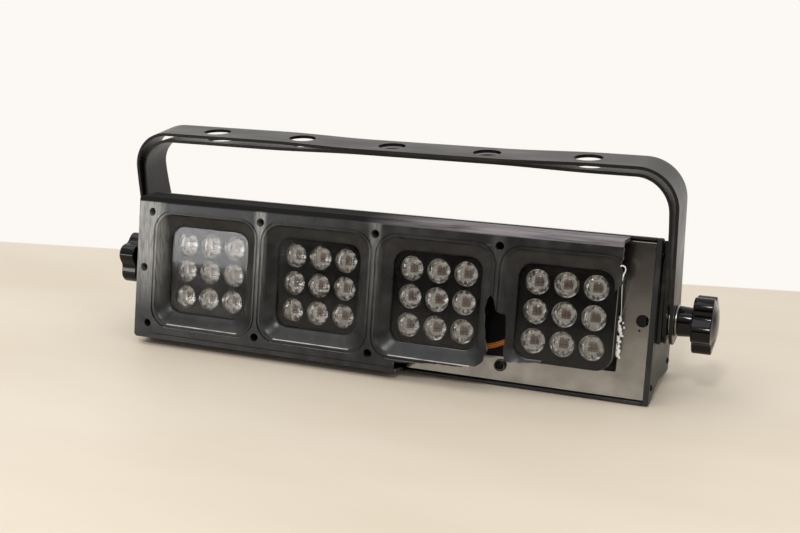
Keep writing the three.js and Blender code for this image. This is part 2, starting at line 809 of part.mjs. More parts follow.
function nut() {
  const hex = rodX(nutHalfFlat / Math.cos(Math.PI / 6), nutInner, nutOuter, 6);
  return cut(hex, [rodX(studRadius + seatGap, nutInner - overrun, nutOuter + overrun)]);
}

function washer(xLow, xHigh) {
  const disc = rodX(washerRadius, xLow, xHigh);
  return cut(disc, [rodX(studRadius + seatGap, xLow - overrun, xHigh + overrun)]);
}

// Star knob: a scalloped head with a low crown, on a long neck; turn brings a lobe to that angle
function knob(turn) {
  const points = [];
  const count = knobLobes * knobStepsPerLobe;
  for (let i = 0; i < count; i += 1) {
    const angle = (i / count) * 2 * Math.PI;
    const dip = Math.pow((1 - Math.cos(knobLobes * angle)) / 2, knobLobePower);
    const radius = knobHeadRadius - knobScallop * dip;
    points.push([radius * Math.cos(angle + turn), radius * Math.sin(angle + turn)]);
  }
  const head = solid(alongX(outline(points), knobHeadInner, knobHeadOuter, knobEdge));
  const shoulder = knobHeadOuter + knobCrownRise * knobShoulderShare;
  const rim = knobHeadOuter - knobEdge;
  const crown = rodX(knobCrownRadius, rim, shoulder, boreSteps, knobShoulderRadius);
  const tip = rodX(knobShoulderRadius, shoulder, knobOuter, boreSteps, knobTipRadius);
  const [small, large] = [knobNeckRadius - knobNeckTaper, knobNeckRadius];
  const neck = rodX(large, knobInner, knobHeadInner + knobEdge, boreSteps, small);
  const socket = rodX(studRadius + seatGap, knobInner - overrun, knobInner + knobSocket);
  return cut(join([head, crown, tip, neck]), [socket]);
}

// Rear panel and its fittings
function rearPanel() {
  const edge = rectangle(panelHalfLength, panelHalfHeight, panelCorner);
  const panel = solid(alongY(edge, panelBack, panelFace));
  const [low, high] = [panelBack - overrun, panelFace + overrun];
  const [inletW, inletH] = [inletBodyHalfWidth + seatGap, inletBodyHalfHeight + seatGap];
  const [displayW, displayH] = [displayHalfWidth + seatGap, displayHalfHeight + seatGap];
  const windows = [
    box(inletX - inletW, inletX + inletW, low, high, -inletH, inletH),
    box(displayX - displayW, displayX + displayW, low, high, displayRise - displayH, displayRise + displayH),
    rodY(fuseBodyRadius + seatGap, fuseX, 0, low, high),
    rodY(xlrRadius + seatGap, xlrX, 0, low, high),
    rodY(xlrRadius + seatGap, xlrX + xlrPitch, 0, low, high),
  ];
  const bore = buttonRadius + seatGap;
  const bores = buttonPlaces().map((x) => rodY(bore, x, -buttonDrop, low, high, smallSteps));
  return cut(panel, [...windows, ...bores]);
}

function buttonPlaces() {
  return [-1.5, -0.5, 0.5, 1.5].map((share) => displayX + share * buttonPitch);
}

function powerInlet() {
  const seat = panelFace + seatGap;
  const face = seat + inletFlange;
  const flange = solid(alongY(rectangle(inletHalfWidth, inletHalfHeight, panelCorner), seat, face));
  const [bodyW, bodyH] = [inletBodyHalfWidth, inletBodyHalfHeight];
  const body = box(-bodyW, bodyW, face - inletBody, face, -bodyH, bodyH);
  const [wellW, wellH] = [inletSocketHalfWidth, inletSocketHalfHeight];
  const wellBack = face - inletSocketDepth;
  const well = box(-wellW, wellW, wellBack, face + overrun, -wellH, wellH);
  const spots = [[-inletPinSpread, -inletPin], [0, inletPin], [inletPinSpread, -inletPin]];
  const [pinBack, pinFront] = [wellBack - inletPin, face - inletPinSetback];
  const pins = spots.map(([x, z]) => (
    box(x - inletPin / 2, x + inletPin / 2, pinBack, pinFront, z - inletPin, z + inletPin)
  ));
  return join([cut(join([flange, body]), [well]), ...pins]).translate([inletX, 0, 0]);
}

function fuseHolder() {
  const seat = panelFace + seatGap;
  const top = seat + fuseCapHeight;
  const cap = rodY(fuseCapRadius, fuseX, 0, seat, top);
  const body = rodY(fuseBodyRadius, fuseX, 0, seat - fuseBodyDepth, seat + overrun);
  const [slotW, slotH] = [fuseCapRadius, fuseSlot / 2];
  const slot = box(fuseX - slotW, fuseX + slotW, top - fuseSlot, top + overrun, -slotH, slotH);
  return cut(join([cap, body]), [slot]);
}

function xlrConnector(x, male) {
  const seat = panelFace + seatGap;
  const face = seat + xlrFlange;
  const flange = solid(alongY(rectangle(xlrHalfWidth, xlrHalfHeight, xlrCorner), seat, face));
  const barrel = rodY(xlrRadius, 0, 0, face - xlrBody, face);
  const spots = [90, 210, 330].map((degrees) => {
    const angle = THREE.MathUtils.degToRad(degrees);
    return [xlrPinCircle * Math.cos(angle), xlrPinCircle * Math.sin(angle)];
  });
  const whole = join([flange, barrel]);
  const bottom = face - xlrWell;
  const rods = (yLow, yHigh) => spots.map(([px, pz]) => rodY(xlrPinRadius, px, pz, yLow, yHigh, smallSteps));
  if (!male) return cut(whole, rods(bottom, face + overrun)).translate([x, 0, 0]);
  const well = rodY(xlrWellRadius, 0, 0, bottom, face + overrun);
  const pins = rods(bottom - xlrFlange, face - xlrPinSetback);
  return join([cut(whole, [well]), ...pins]).translate([x, 0, 0]);
}

function displayWindow() {
  const face = panelFace + seatGap;
  const back = face - displayWindowThickness;
  const [w, h] = [displayHalfWidth, displayHalfHeight];
  return box(displayX - w, displayX + w, back, face, displayRise - h, displayRise + h);
}

// Display board: hangs from the panel on four posts, with the digit block and four switches
function displayBoard() {
  const back = panelBack - displayBoardSetback;
  const [w, h] = [displayBoardHalfWidth, displayBoardHalfHeight];
  const low = back - boardThickness;
  const board = box(displayX - w, displayX + w, low, back, -h, h);
  const posts = boardPosts(displayX, w, h, low, panelBack - seatGap);
  const digitFace = panelFace + seatGap - displayWindowThickness - seatGap;
  const [digitW, digitH] = [displayHalfWidth - seatGap, displayHalfHeight - seatGap];
  const [digitLow, digitHigh] = [displayRise - digitH, displayRise + digitH];
  const digits = box(displayX - digitW, displayX + digitW, low, digitFace, digitLow, digitHigh);
  const [switchLow, switchHigh] = [-buttonDrop - switchHalf, -buttonDrop + switchHalf];
  const switches = buttonPlaces().map((x) => (
    box(x - switchHalf, x + switchHalf, low, back + switchHeight, switchLow, switchHigh)
  ));
  return join([board, ...posts, digits, ...switches]);
}

// Four posts near the corners of a board of half size w by h
function boardPosts(x, w, h, low, high) {
  const spots = [-1, 1].flatMap((sx) => [-1, 1].map((sz) => [sx * (w - postInset), sz * (h - postInset)]));
  return spots.map(([px, pz]) => rodY(postRadius, x + px, pz, low, high, smallSteps));
}

// Button: a cap through the panel with a skirt behind it, clear of its switch by the travel
function button(x) {
  const switchFace = panelBack - displayBoardSetback + switchHeight;
  const foot = switchFace + seatGap + buttonTravel;
  const stem = rodY(buttonRadius, x, -buttonDrop, foot, panelFace + buttonProud, smallSteps);
  const skirtBack = panelBack - seatGap;
  const [skirtRadius, skirtFront] = [buttonRadius + buttonSkirt, skirtBack - buttonSkirtHeight];
  const collar = rodY(skirtRadius, x, -buttonDrop, skirtFront, skirtBack, smallSteps);
  return join([stem, collar]);
}

// Power supply: a sheet cage with a lipped lid, fixed to the back wall
function powerSupply() {
  const seat = backInner - seatGap;
  const [w, h] = [supplyHalfLength, supplyHalfHeight];
  const top = seat - supplyDepth;
  const cage = box(supplyX - w, supplyX + w, top, seat, -h, h);
  const [lidW, lidH] = [w + supplyLip, h + supplyLip];
  const lid = box(supplyX - lidW, supplyX + lidW, top - supplyLip, top + supplyLidSide, -lidH, lidH);
  return join([cage, lid]);
}

function controlBoard() {
  const seat = backInner - seatGap;
  const back = seat - controlSetback;
  const low = back - boardThickness;
  const [w, h] = [controlHalfLength, controlHalfHeight];
  const board = box(boardX - w, boardX + w, low, back, -h, h);
  const posts = boardPosts(boardX, w, h, low, seat);
  const chip = box(boardX - chipHalf, boardX + chipHalf, low - chipHeight, back, -chipHalf, chipHalf);
  return join([board, ...posts, chip]);
}

// Safety eye: a ring on a flanged shank through the back wall
function safetyEye() {
  const seat = housingDepth + seatGap;
  const collar = rodY(eyeFlange, eyeX, eyeHeight, seat, seat + eyeWire);
  const shank = rodY(eyeWire, eyeX, eyeHeight, backInner - seatGap, seat + eyeWire * 2);
  const ring = new THREE.TorusGeometry(eyeRadius, eyeWire, eyeWireSteps, boreSteps);
  ring.rotateY(Math.PI / 2);
  ring.translate(eyeX, seat + eyeWire + eyeRadius, eyeHeight);
  return join([collar, shank, solid(ring)]);
}

// Assembly
function piece(name, manifold, material) {
  const mesh = new THREE.Mesh(geometryOf(manifold), material);
  mesh.name = name;
  return mesh;
}

const body = new THREE.Group();
body.add(piece('housing_shell', housingShell(), blackPaint));
body.add(piece('front_plate', frontPlate(), bareSteel));
body.add(piece('bezel', bezel(), blackPlastic));
body.add(piece('boss_stub', bossStub(), blackPlastic));
body.add(piece('heat_sink', heatSink(), blackAnodised));
body.add(piece('power_supply', powerSupply(), galvanised));
body.add(piece('control_board', controlBoard(), boardGreen));
body.add(piece('rear_panel', rearPanel(), blackPaint));
body.add(piece('power_inlet', powerInlet(), blackPlastic));
body.add(piece('fuse_holder', fuseHolder(), blackPlastic));
body.add(piece('dmx_input', xlrConnector(xlrX, true), zincSteel));
body.add(piece('dmx_output', xlrConnector(xlrX + xlrPitch, false), blackPlastic));
body.add(piece('display_window', displayWindow(), displayRed));
body.add(piece('display_board', displayBoard(), boardGreen));
body.add(piece('safety_eye', safetyEye(), zincSteel));
buttonPlaces().forEach((x, i) => body.add(piece(`button_${i + 1}`, button(x), blackPlastic)));

podCentres.forEach((x, i) => {
  const pod = new THREE.Group();
  pod.position.x = x;
  pod.add(piece(`window_${i + 1}`, podWindow(), clearAcrylic));
  pod.add(piece(`lens_holder_${i + 1}`, lensHolder(), blackPlastic));
  pod.add(piece(`lens_array_${i + 1}`, lensArray(), clearAcrylic));
  pod.add(piece(`led_board_${i + 1}`, ledBoard(), boardWhite));
  if (i + 1 < podCount) pod.add(piece(`board_link_${i + 1}`, jumper(), wireOrange));
  body.add(pod);
});

const pivot = new THREE.Group();
pivot.position.y = pivotDepth;
body.add(pivot);
[[-1, 'left'], [1, 'right']].forEach(([side, name]) => {
  body.add(piece(`end_cap_${name}`, endCap(side), blackPaint));
  body.add(piece(`pivot_plate_${name}`, pivotPlate(side), blackPaint));
  pivot.add(piece(`pivot_nut_${name}`, mirrored(nut(), side), zincSteel));
  pivot.add(piece(`pivot_stud_${name}`, mirrored(stud(), side), zincSteel));
  pivot.add(piece(`knob_${name}`, mirrored(knob(knobTurns[name]), side), knobPlastic));
  const between = washer(innerStrapOuter + seatGap, outerStrapInner - seatGap);
  pivot.add(piece(`spacer_washer_${name}`, mirrored(between, side), zincSteel));
  pivot.add(piece(`knob_washer_${name}`, mirrored(washer(washerInner, washerOuter), side), zincSteel));
});

const outerBail = piece('outer_bail', bail(outerStrapOuter, outerBailReach, outerBailCorner), blackPaint);
outerBail.rotation.x = outerBailTilt;
const innerCorner = outerBailCorner - (outerStrapOuter - innerStrapOuter);
const innerBail = piece('inner_bail', bail(innerStrapOuter, innerBailReach, innerCorner), blackPaint);
innerBail.rotation.x = innerBailTilt;
pivot.add(outerBail, innerBail);

// Lean the body back, then put the origin on the table under the middle of the whole
body.rotation.x = -lean;
const washLight = new THREE.Group();
washLight.add(body);
washLight.updateMatrixWorld(true);
const reach = new THREE.Box3().setFromObject(washLight, true);
body.position.set(-(reach.min.x + reach.max.x) / 2, -(reach.min.y + reach.max.y) / 2, -reach.min.z);

export default washLight;
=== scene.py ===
"""A four-pod LED wash light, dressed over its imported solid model.

Pieces are drawn in millimetres in the housing's own upright frame: x along the housing,
y from the lenses (-) to the back panel (+), z up, y = 0 on the bare steel front plate.
BODY then leans them back onto the table, in metres.
"""
import json
import math
import random

import bmesh
import bpy
from mathutils import Matrix, Vector, noise


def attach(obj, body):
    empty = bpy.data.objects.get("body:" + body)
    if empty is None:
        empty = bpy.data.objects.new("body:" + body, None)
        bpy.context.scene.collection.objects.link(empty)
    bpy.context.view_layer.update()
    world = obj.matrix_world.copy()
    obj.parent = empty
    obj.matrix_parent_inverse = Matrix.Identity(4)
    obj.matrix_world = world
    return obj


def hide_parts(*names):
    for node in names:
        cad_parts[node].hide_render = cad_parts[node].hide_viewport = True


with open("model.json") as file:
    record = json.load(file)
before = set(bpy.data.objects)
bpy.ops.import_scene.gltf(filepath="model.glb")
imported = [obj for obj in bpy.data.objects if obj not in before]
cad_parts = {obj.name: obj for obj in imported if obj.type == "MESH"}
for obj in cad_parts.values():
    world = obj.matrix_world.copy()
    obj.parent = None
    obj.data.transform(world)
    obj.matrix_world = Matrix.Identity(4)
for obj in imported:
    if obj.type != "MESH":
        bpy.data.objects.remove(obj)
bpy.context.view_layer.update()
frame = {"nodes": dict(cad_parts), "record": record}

# Where the housing stands
LEAN = math.atan2(13.0, 90.0)
BODY = (Matrix.Translation((0.0, -0.0384977, 0.0628697))
        @ Matrix.Rotation(-LEAN, 4, "X") @ Matrix.Scale(0.001, 4))
PIVOT_Y = 25.5
PIVOT = BODY @ Matrix.Translation((0.0, PIVOT_Y, 0.0))

# The photograph: its lens, the table's far edge as the camera sees it, and the wall
SENSOR, FOCAL_PIXELS, PHOTO_WIDTH = 36.0, 1163.0, 800.0
TABLE_DEPTH, TABLE_SLOPE = 0.2996, 0.18364
WALL = "#fcf8f3"
LAMP_TARGET = (0.0, 0.0, 0.05)

# Pods, in millimetres
POD_PITCH = 101.7
PODS = [(i - 1.5) * POD_PITCH for i in range(4)]
LENS_PITCH = 22.5
LENS_BORE, LENS_SEAT = 9.7, 9.55
DIE_PITCH, DIE_HALF = 1.9, 0.65
HOLDER_HALF, HOLDER_CORNER, HOLDER_WALL = 39.0, 13.0, 1.8
BOARD_BACK, BOARD_FRONT = -4.3, -5.9
HOLDER_FRONT, HOLDER_FACE_BACK = -16.5, -15.1
WINDOW_BACK, WINDOW_FRONT = -16.8, -18.3

# Bezel
BEZEL_FRONT, BORDER_FRONT, BEZEL_BACK = -27.2, -26.2, -3.3
BEZEL_W, BEZEL_H, BEZEL_WALL = 216.4, 60.3, 2.4
LEFT_BORDER, GROOVE = 1.9, (1.1, 2.9)
MOUTH_HALF, MOUTH_CORNER, FLOOR_HALF, FLOOR_CORNER = 47.0, 15.0, 36.4, 11.0
FUNNEL_BACK = -18.6
SCREW_ROW, SCREW_SEAT, SCREW_HEAD, BOSS_RADIUS = 47.5, -3.0, 2.9, 4.5
SEAM_SCREWS = [(x, z) for x in (-POD_PITCH, 0.0, POD_PITCH) for z in (-SCREW_ROW, SCREW_ROW)]
PLATE_HOLES = [(-203.4, -SCREW_ROW), (-203.4, SCREW_ROW), (-208.3, 0.0), (208.3, 0.0)]
END_SCREWS = [(-205.1, -SCREW_ROW), (-205.1, SCREW_ROW), (-210.6, 0.0)]

# Housing and front plate
HOUSING_HALF = 213.7
RIM_HALF, BOX_HALF, HOUSING_DEPTH, FLARE = 62.8, 49.8, 87.0, 38.0
SHEET = 2.0
CUTOUT_W, CUTOUT_H = 191.8, 40.6
BACK_CUT = (82.0, 92.0)
VENTS_X, EYE_X, EYE_Z = 162.0, 175.0, 34.0

# Bails and pivot hardware: outside is a leg's outer face in x, reach goes from the pivot axis to
# the crossbar's top, and tilt is in degrees; bow, leans and twist are what use has bent
BAIL_WIDTH, STRAP = 38.0, 2.5
OUTER_BAIL = {"outside": 229.5, "reach": 121.3, "tilt": 12.5, "corner": 31.5, "bow": -1.8,
              "left_lean": 2.8, "left_twist": 5.4, "right_lean": 0.0}
INNER_BAIL = {"outside": 224.8, "reach": 113.9, "tilt": 9.7, "corner": 27.5, "bow": 1.4,
              "left_lean": 3.8, "left_twist": 4.6, "right_lean": 1.5}
BAIL_HOLES = [-160.8, -81.2, -1.6, 78.0, 157.6]
STUD_HOLE, THREAD_PITCH = 4.4, 1.25
# Inner and outer faces along the pivot axis
CAP, DOUBLER, NUT = (214.0, 218.3), (218.6, 221.7), (205.2, 211.7)
WASHERS = {"spacer_washer": (225.1, 226.7), "knob_washer": (229.8, 231.3)}
KNOB_RADIUS, KNOB_SCALLOP, KNOB_LOBE_POWER = 23.0, 4.8, 1.4
KNOB_TURNS = {"left": math.pi / 2, "right": -math.pi / 2}

# Back panel and its fittings
PANEL_FACE, SEAT, INLET_FACE, XLR_FACE = 88.8, 89.1, 92.1, 91.6
INLET_X, FUSE_X, DISPLAY_X, DISPLAY_Z, BUTTON_Z = -82.0, -42.0, -5.0, 10.0, -12.0
BUTTONS = [DISPLAY_X + 12.0 * (i - 1.5) for i in range(4)]
XLRS = (48.0, 84.0)
XLR_PINS = [(4.0 * math.cos(math.radians(a)), 4.0 * math.sin(math.radians(a))) for a in (90, 210, 330)]


# ---------------------------------------------------------------- nodes and colours

def srgb(code):
    """A hex colour as linear red, green, blue and full opacity."""
    parts = [int(code[i:i + 2], 16) / 255 for i in (1, 3, 5)]
    return tuple(c / 12.92 if c <= 0.04045 else ((c + 0.055) / 1.055) ** 2.4 for c in parts) + (1.0,)


def result(node):
    """A node's first output in use."""
    return next(output for output in node.outputs if output.enabled)


def add(tree, kind, inputs=None, stops=(), to=None, **settings):
    """One node with its settings and links. An input takes a value, a hex colour, a socket or a
    node, whose first output in use it then takes. A colour ramp takes its stops as (place,
    colour), and to is the socket that the result goes to."""
    node = tree.nodes.new(kind)
    for key, value in settings.items():
        setattr(node, key, value)
    for key, value in (inputs or {}).items():
        if isinstance(value, bpy.types.Node):
            value = result(value)
        if isinstance(value, bpy.types.NodeSocket):
            tree.links.new(value, node.inputs[key])
        else:
            node.inputs[key].default_value = srgb(value) if isinstance(value, str) else value
    for stop, (place, colour) in zip(node.color_ramp.elements if stops else (), stops):
        stop.position = place
        stop.color = srgb(colour) if isinstance(colour, str) else (colour, colour, colour, 1.0)
    if to is not None:
        tree.links.new(result(node), to)
    return node


def shade(name, colour, roughness, **values):
    """A Principled material; what is the same all over sits on the shader's own sockets."""
    made = bpy.data.materials.new(name)
    made.use_nodes = True
    shader = made.node_tree.nodes["Principled BSDF"]
    shader.inputs["Base Color"].default_value = srgb(colour)
    shader.inputs["Roughness"].default_value = roughness
    for key, value in values.items():
        shader.inputs[key.replace("_", " ")].default_value = value
    made.diffuse_color = srgb(colour)
    return made, made.node_tree, shader


# Scale of a wave texture whose waves are 2.4 mm wide
PILLOW_WAVES = 2 * math.pi / (20 * 0.0024)


def pattern(tree, grain, stretch=(1.0, 1.0, 1.0), detail=3.0):
    """Noise whose lumps are about grain millimetres wide, in Object coordinates."""
    place = add(tree, "ShaderNodeTexCoord").outputs["Object"]
    stretched = add(tree, "ShaderNodeMapping", {"Vector": place, "Scale": stretch})
    return add(tree, "ShaderNodeTexNoise", {"Vector": stretched, "Scale": 1000.0 / grain, "Detail": detail})


def roughen(tree, shader, height, depth, strength=1.0):
    """Sends a height pattern to the surface, depth in millimetres."""
    add(tree, "ShaderNodeBump", {"Strength": strength, "Distance": depth / 1000.0, "Height": height},
        to=shader.inputs["Normal"])


# ---------------------------------------------------------------- materials

def layer(tree, shader, grain, stretch=(1.0, 1.0, 1.0), detail=3.0, relief=None, **ramps):
    """Noise on a shader: each ramp's stops feed the socket of its name, and relief is
    (depth in millimetres, strength)."""
    lumps = pattern(tree, grain, stretch, detail)
    for socket, stops in ramps.items():
        add(tree, "ShaderNodeValToRGB", {"Fac": lumps}, stops, to=shader.inputs[socket.replace("_", " ")])
    if relief:
        roughen(tree, shader, lumps, *relief)


def finish(name, colour, roughness, *layers, **values):
    """A Principled material under its layers of noise."""
    made, tree, shader = shade(name, colour, roughness, **values)
    for settings in layers:
        layer(tree, shader, **settings)
    return made


def powder_coat(name, colour, roughness, scuff, shine):
    """Polyester powder coat on steel: satin black with orange peel of about 1.5 mm and rubs."""
    rubs = dict(grain=26.0, stretch=(0.35, 1.0, 1.0), detail=8.0, Base_Color=[(0.56, colour), (0.9, scuff)],
                Roughness=[(0.3, roughness - 0.06), (0.75, roughness + 0.1)])
    return finish(name, colour, roughness, rubs, dict(grain=1.5, detail=2.0, relief=(0.05, 0.5)),
                  Specular_IOR_Level=shine)


def moulded_abs():
    """Injection-moulded charcoal ABS: fine spark-eroded grain, satin. The left border and the bars
    between the pods are painted light grey, streaky and lighter upwards and to the left: partly hand
    wear, partly a painted sheen. The top is dark on the left and painted light grey in strips on the
    right: partly dust, partly a painted sheen."""
    made, tree, shader = shade("moulded_abs_charcoal", "#19191a", 0.32, Specular_IOR_Level=0.3)
    pitch = POD_PITCH / 1000.0
    rub = pattern(tree, 14.0, detail=10.0)
    upright = pattern(tree, 1.6, stretch=(1.0, 1.0, 0.05), detail=5.0)
    lengthwise = pattern(tree, 2.2, stretch=(0.04, 1.0, 1.0), detail=5.0)
    place = add(tree, "ShaderNodeSeparateXYZ", {"Vector": add(tree, "ShaderNodeTexCoord").outputs["Object"]})
    across, height = place.outputs["X"], place.outputs["Z"]
    normal = add(tree, "ShaderNodeNewGeometry").outputs["Normal"]
    facing = add(tree, "ShaderNodeSeparateXYZ", {"Vector": normal})
    offset = add(tree, "ShaderNodeMath", {0: across, 1: pitch}, operation="ADD")
    seam = add(tree, "ShaderNodeMath", {0: offset, 1: pitch / 2}, operation="PINGPONG")

    # Each range takes a value from (low, high) to (bottom, top)
    ranges = {
        "border": (across, -0.190, -0.201, 0.0, 1.0), "upper": (height, 0.03, 0.08, 0.0, 1.0),
        "bar": (seam, 0.0065, 0.0025, 0.0, 1.0), "rising": (height, 0.03, 0.12, 0.0, 0.9),
        "fading": (across, -pitch, pitch, 1.0, 0.1), "streaky": (upright, 0.3, 0.62, 0.35, 1.0),
        "level": (facing.outputs["Z"], 0.8, 0.95, 0.0, 1.0), "edge": (height, 0.1215, 0.1225, 0.0, 1.0),
        "right": (across, -0.01, 0.06, 0.0, 1.0), "strips": (lengthwise, 0.2, 0.6, 0.0, 1.0),
        "satin": (rub, 0.35, 0.7, 0.27, 0.36),
    }
    share = {key: add(tree, "ShaderNodeMapRange", dict(enumerate(values))) for key, values in ranges.items()}
    # Products and maxima in order; each may use the ones before it
    for key, operation, first, second in (
            ("end", "MULTIPLY", "border", "upper"), ("tops", "MULTIPLY", "bar", "rising"),
            ("bars", "MULTIPLY", "tops", "fading"), ("handling_and_sheen", "MAXIMUM", "end", "bars"),
            ("wear_and_sheen", "MULTIPLY", "handling_and_sheen", "streaky"), ("top", "MAXIMUM", "level", "edge"),
            ("dust_and_sheen", "MULTIPLY", "right", "strips")):
        share[key] = add(tree, "ShaderNodeMath", {0: share[first], 1: share[second]}, operation=operation)
    top, dust_and_sheen = share["top"], share["dust_and_sheen"]

    base = add(tree, "ShaderNodeValToRGB", {"Fac": rub}, [(0.45, "#1c1c1d"), (0.85, "#363636")])
    # Light grey, streaky, on the upper left border and the upper bars, fading to the right: partly hand wear,
    # partly a painted sheen
    front = add(tree, "ShaderNodeMix", {"Factor": share["wear_and_sheen"], 6: base, 7: "#959592"}, data_type="RGBA")
    # On the top: dark on the left, light grey in strips on the right, partly dust and partly a painted sheen
    ledge = add(tree, "ShaderNodeMix", {"Factor": dust_and_sheen, 6: "#121213", 7: "#8a858a"}, data_type="RGBA")
    add(tree, "ShaderNodeMix", {"Factor": top, 6: front, 7: ledge}, data_type="RGBA",
        to=shader.inputs["Base Color"])
    dull = add(tree, "ShaderNodeMapRange", {"Value": dust_and_sheen, "To Min": 0.95, "To Max": 0.45})
    add(tree, "ShaderNodeMix", {"Factor": top, 2: share["satin"], 3: dull}, to=shader.inputs["Roughness"])
    layer(tree, shader, 0.6, detail=2.0, relief=(0.03, 0.6))
    return made


def black_moulding(name, colour, roughness, **values):
    """Plain black moulded plastic with a faint matt grain of half a millimetre."""
    cloud = dict(grain=18.0, detail=4.0, Roughness=[(0.3, roughness - 0.06), (0.8, roughness + 0.08)])
    return finish(name, colour, roughness, cloud, dict(grain=0.5, detail=2.0, relief=(0.02, 0.5)), **values)


def galvanised():
    """Galvanised sheet: a spangle of crystals about 8 mm across."""
    made, tree, shader = shade("galvanised_sheet", "#a3a5a4", 0.42, Metallic=0.95)
    place = add(tree, "ShaderNodeTexCoord").outputs["Object"]
    spangle = add(tree, "ShaderNodeTexVoronoi", {"Vector": place, "Scale": 1000.0 / 8.0})
    add(tree, "ShaderNodeValToRGB", {"Fac": spangle.outputs["Color"]}, [(0.2, "#8d908f"), (0.9, "#b9bbb9")],
        to=shader.inputs["Base Color"])
    return made


def clear_acrylic():
    """Injection-moulded PMMA: clear, with low pillows 2.4 mm wide that break up what is behind."""
    made, tree, shader = shade("moulded_pmma_lens", "#ffffff", 0.02, IOR=1.49, Transmission_Weight=1.0)
    place = add(tree, "ShaderNodeTexCoord").outputs["Object"]
    across, upright = [add(tree, "ShaderNodeTexWave", {"Vector": place, "Scale": PILLOW_WAVES},
                           bands_direction=axis).outputs["Fac"] for axis in "XZ"]
    both = add(tree, "ShaderNodeMath", {0: across, 1: upright}, operation="MULTIPLY")
    roughen(tree, shader, both, 0.15, 0.3)
    return made


def solder_mask(name, colour):
    """Solder mask on a circuit board: glossy lacquer over raised tracks about 1 mm wide."""
    made, tree, shader = shade(name, colour, 0.3, Coat_Weight=0.3)
    place = add(tree, "ShaderNodeTexCoord").outputs["Object"]
    tracks = add(tree, "ShaderNodeTexBrick", {"Vector": place, "Scale": 220.0, "Mortar Size": 0.03,
                                              "Color1": "#7c7c7c", "Color2": "#959595", "Mortar": "#ffffff"})
    roughen(tree, shader, tracks, 0.04, 0.5)
    return made


def plain(name, colour, roughness, grain=1.0, depth=0.02, **values):
    """A simple finish with a faint surface grain of its own."""
    return finish(name, colour, roughness, dict(grain=grain, relief=(depth, 0.5)), **values)


PAINT = powder_coat("powder_coat_housing", "#171718", 0.44, "#424140", 0.4)
BAIL_PAINT = powder_coat("powder_coat_bail", "#131211", 0.3, "#3a3733", 0.22)
ABS = moulded_abs()
# Light grey on the upward-facing lower lip of each funnel's mouth: a painted highlight
LIP_HIGHLIGHT = finish("abs_lip_painted_highlight", "#a9a8a4", 0.3, dict(
    grain=5.0, stretch=(0.3, 1.0, 1.0), detail=6.0, Base_Color=[(0.3, "#7c7b79"), (0.6, "#c4c2bd")]))
# Torn ABS: dull, stress-whitened along the tear
TORN = finish("torn_abs", "#3a3b3d", 0.7, dict(
    grain=3.5, detail=8.0, Base_Color=[(0.45, "#242527"), (0.74, "#a3a4a6")], relief=(0.3, 1.0)))
HOLDER = black_moulding("matt_abs_holder", "#030303", 0.6, Specular_IOR_Level=0.12)
FITTING = black_moulding("glass_filled_nylon", "#141415", 0.5)
# Moulded phenolic knob: near-black, polished by hands, sharp highlights
KNOB = finish("polished_phenolic", "#030303", 0.1, dict(
    grain=9.0, detail=6.0, Roughness=[(0.35, 0.07), (0.8, 0.18)]), Specular_IOR_Level=0.25)
# Cold-rolled steel sheet, uncoated: rolling lines along its length and dull finger marks
STEEL = finish("cold_rolled_steel", "#b5b4b2", 0.3, dict(
    grain=30.0, detail=7.0, Base_Color=[(0.35, "#b5b4b2"), (0.75, "#8c8a88")],
    Roughness=[(0.3, 0.13), (0.75, 0.24)]), dict(
    grain=0.7, stretch=(0.02, 1.0, 1.0), detail=2.0, relief=(0.01, 0.5)), Metallic=1.0, Anisotropic=0.35)
# Zinc-plated steel hardware: pale, faintly cloudy
ZINC = finish("zinc_plated_steel", "#c2c2bd", 0.34, dict(
    grain=2.5, detail=5.0, Base_Color=[(0.35, "#cbcbc6"), (0.75, "#9d9d97")]), Metallic=1.0)
# Black-oxided screw steel: dark, its sheen patchy
SCREW = finish("black_oxide_steel", "#1a1a1b", 0.38, dict(
    grain=1.5, detail=4.0, Roughness=[(0.35, 0.3), (0.8, 0.5)]), Metallic=0.8)
# Extruded aluminium, black anodised: fine die lines along the fins
SINK = finish("black_anodised_aluminium", "#17171a", 0.42, dict(
    grain=0.5, stretch=(0.01, 1.0, 1.0), detail=2.0, relief=(0.03, 0.6)), Metallic=0.7)
CAGE = galvanised()
LENS = clear_acrylic()
# The cone of a PMMA collimator reflects totally; that bright silver is painted as a pale colour,
# # partly metallic, with upright dark streaks: a painted reflection
CONE = finish("pmma_collimator_cone", "#ece7de", 0.1, dict(
    grain=2.0, stretch=(1.0, 1.0, 0.4), detail=1.5, Base_Color=[(0.36, "#6e675e"), (0.56, "#fbf8f2")],
    Metallic=[(0.4, 0.9), (0.7, 0.15)], relief=(0.3, 0.8)), Metallic=0.5)
# Die-cut clear acrylic sheet, wiped often: what is behind stays sharp, while the glare on its
# front is soft and comes in cloudy patches
WINDOW = finish("wiped_acrylic_sheet", "#ffffff", 0.01, dict(
    grain=14.0, detail=4.0, Coat_Roughness=[(0.3, 0.07), (0.75, 0.14)]),
    IOR=1.15, Transmission_Weight=1.0, Coat_Weight=1.0, Coat_IOR=1.2)
WHITE_BOARD = solder_mask("white_solder_mask", "#dcdad2")
GREEN_BOARD = solder_mask("green_solder_mask", "#1b4a2d")
CERAMIC = plain("alumina_ceramic", "#e7e5de", 0.5)
CUP = plain("silvered_led_cup", "#a9a49c", 0.3, Metallic=0.9)
SUBSTRATE = plain("led_substrate", "#231c18", 0.4)
DIE = plain("led_die", "#80614f", 0.3)
WIRE = plain("pvc_wire_orange", "#b0551a", 0.4)
WIRE_YELLOW = plain("pvc_wire_yellow", "#a87a1c", 0.4)
SAWN_EDGE = plain("sawn_acrylic_edge", "#b4b5b2", 0.5, 0.6, 0.05)
SILICONE = plain("cured_silicone", "#f8f7f4", 0.45, 1.5, 0.15)
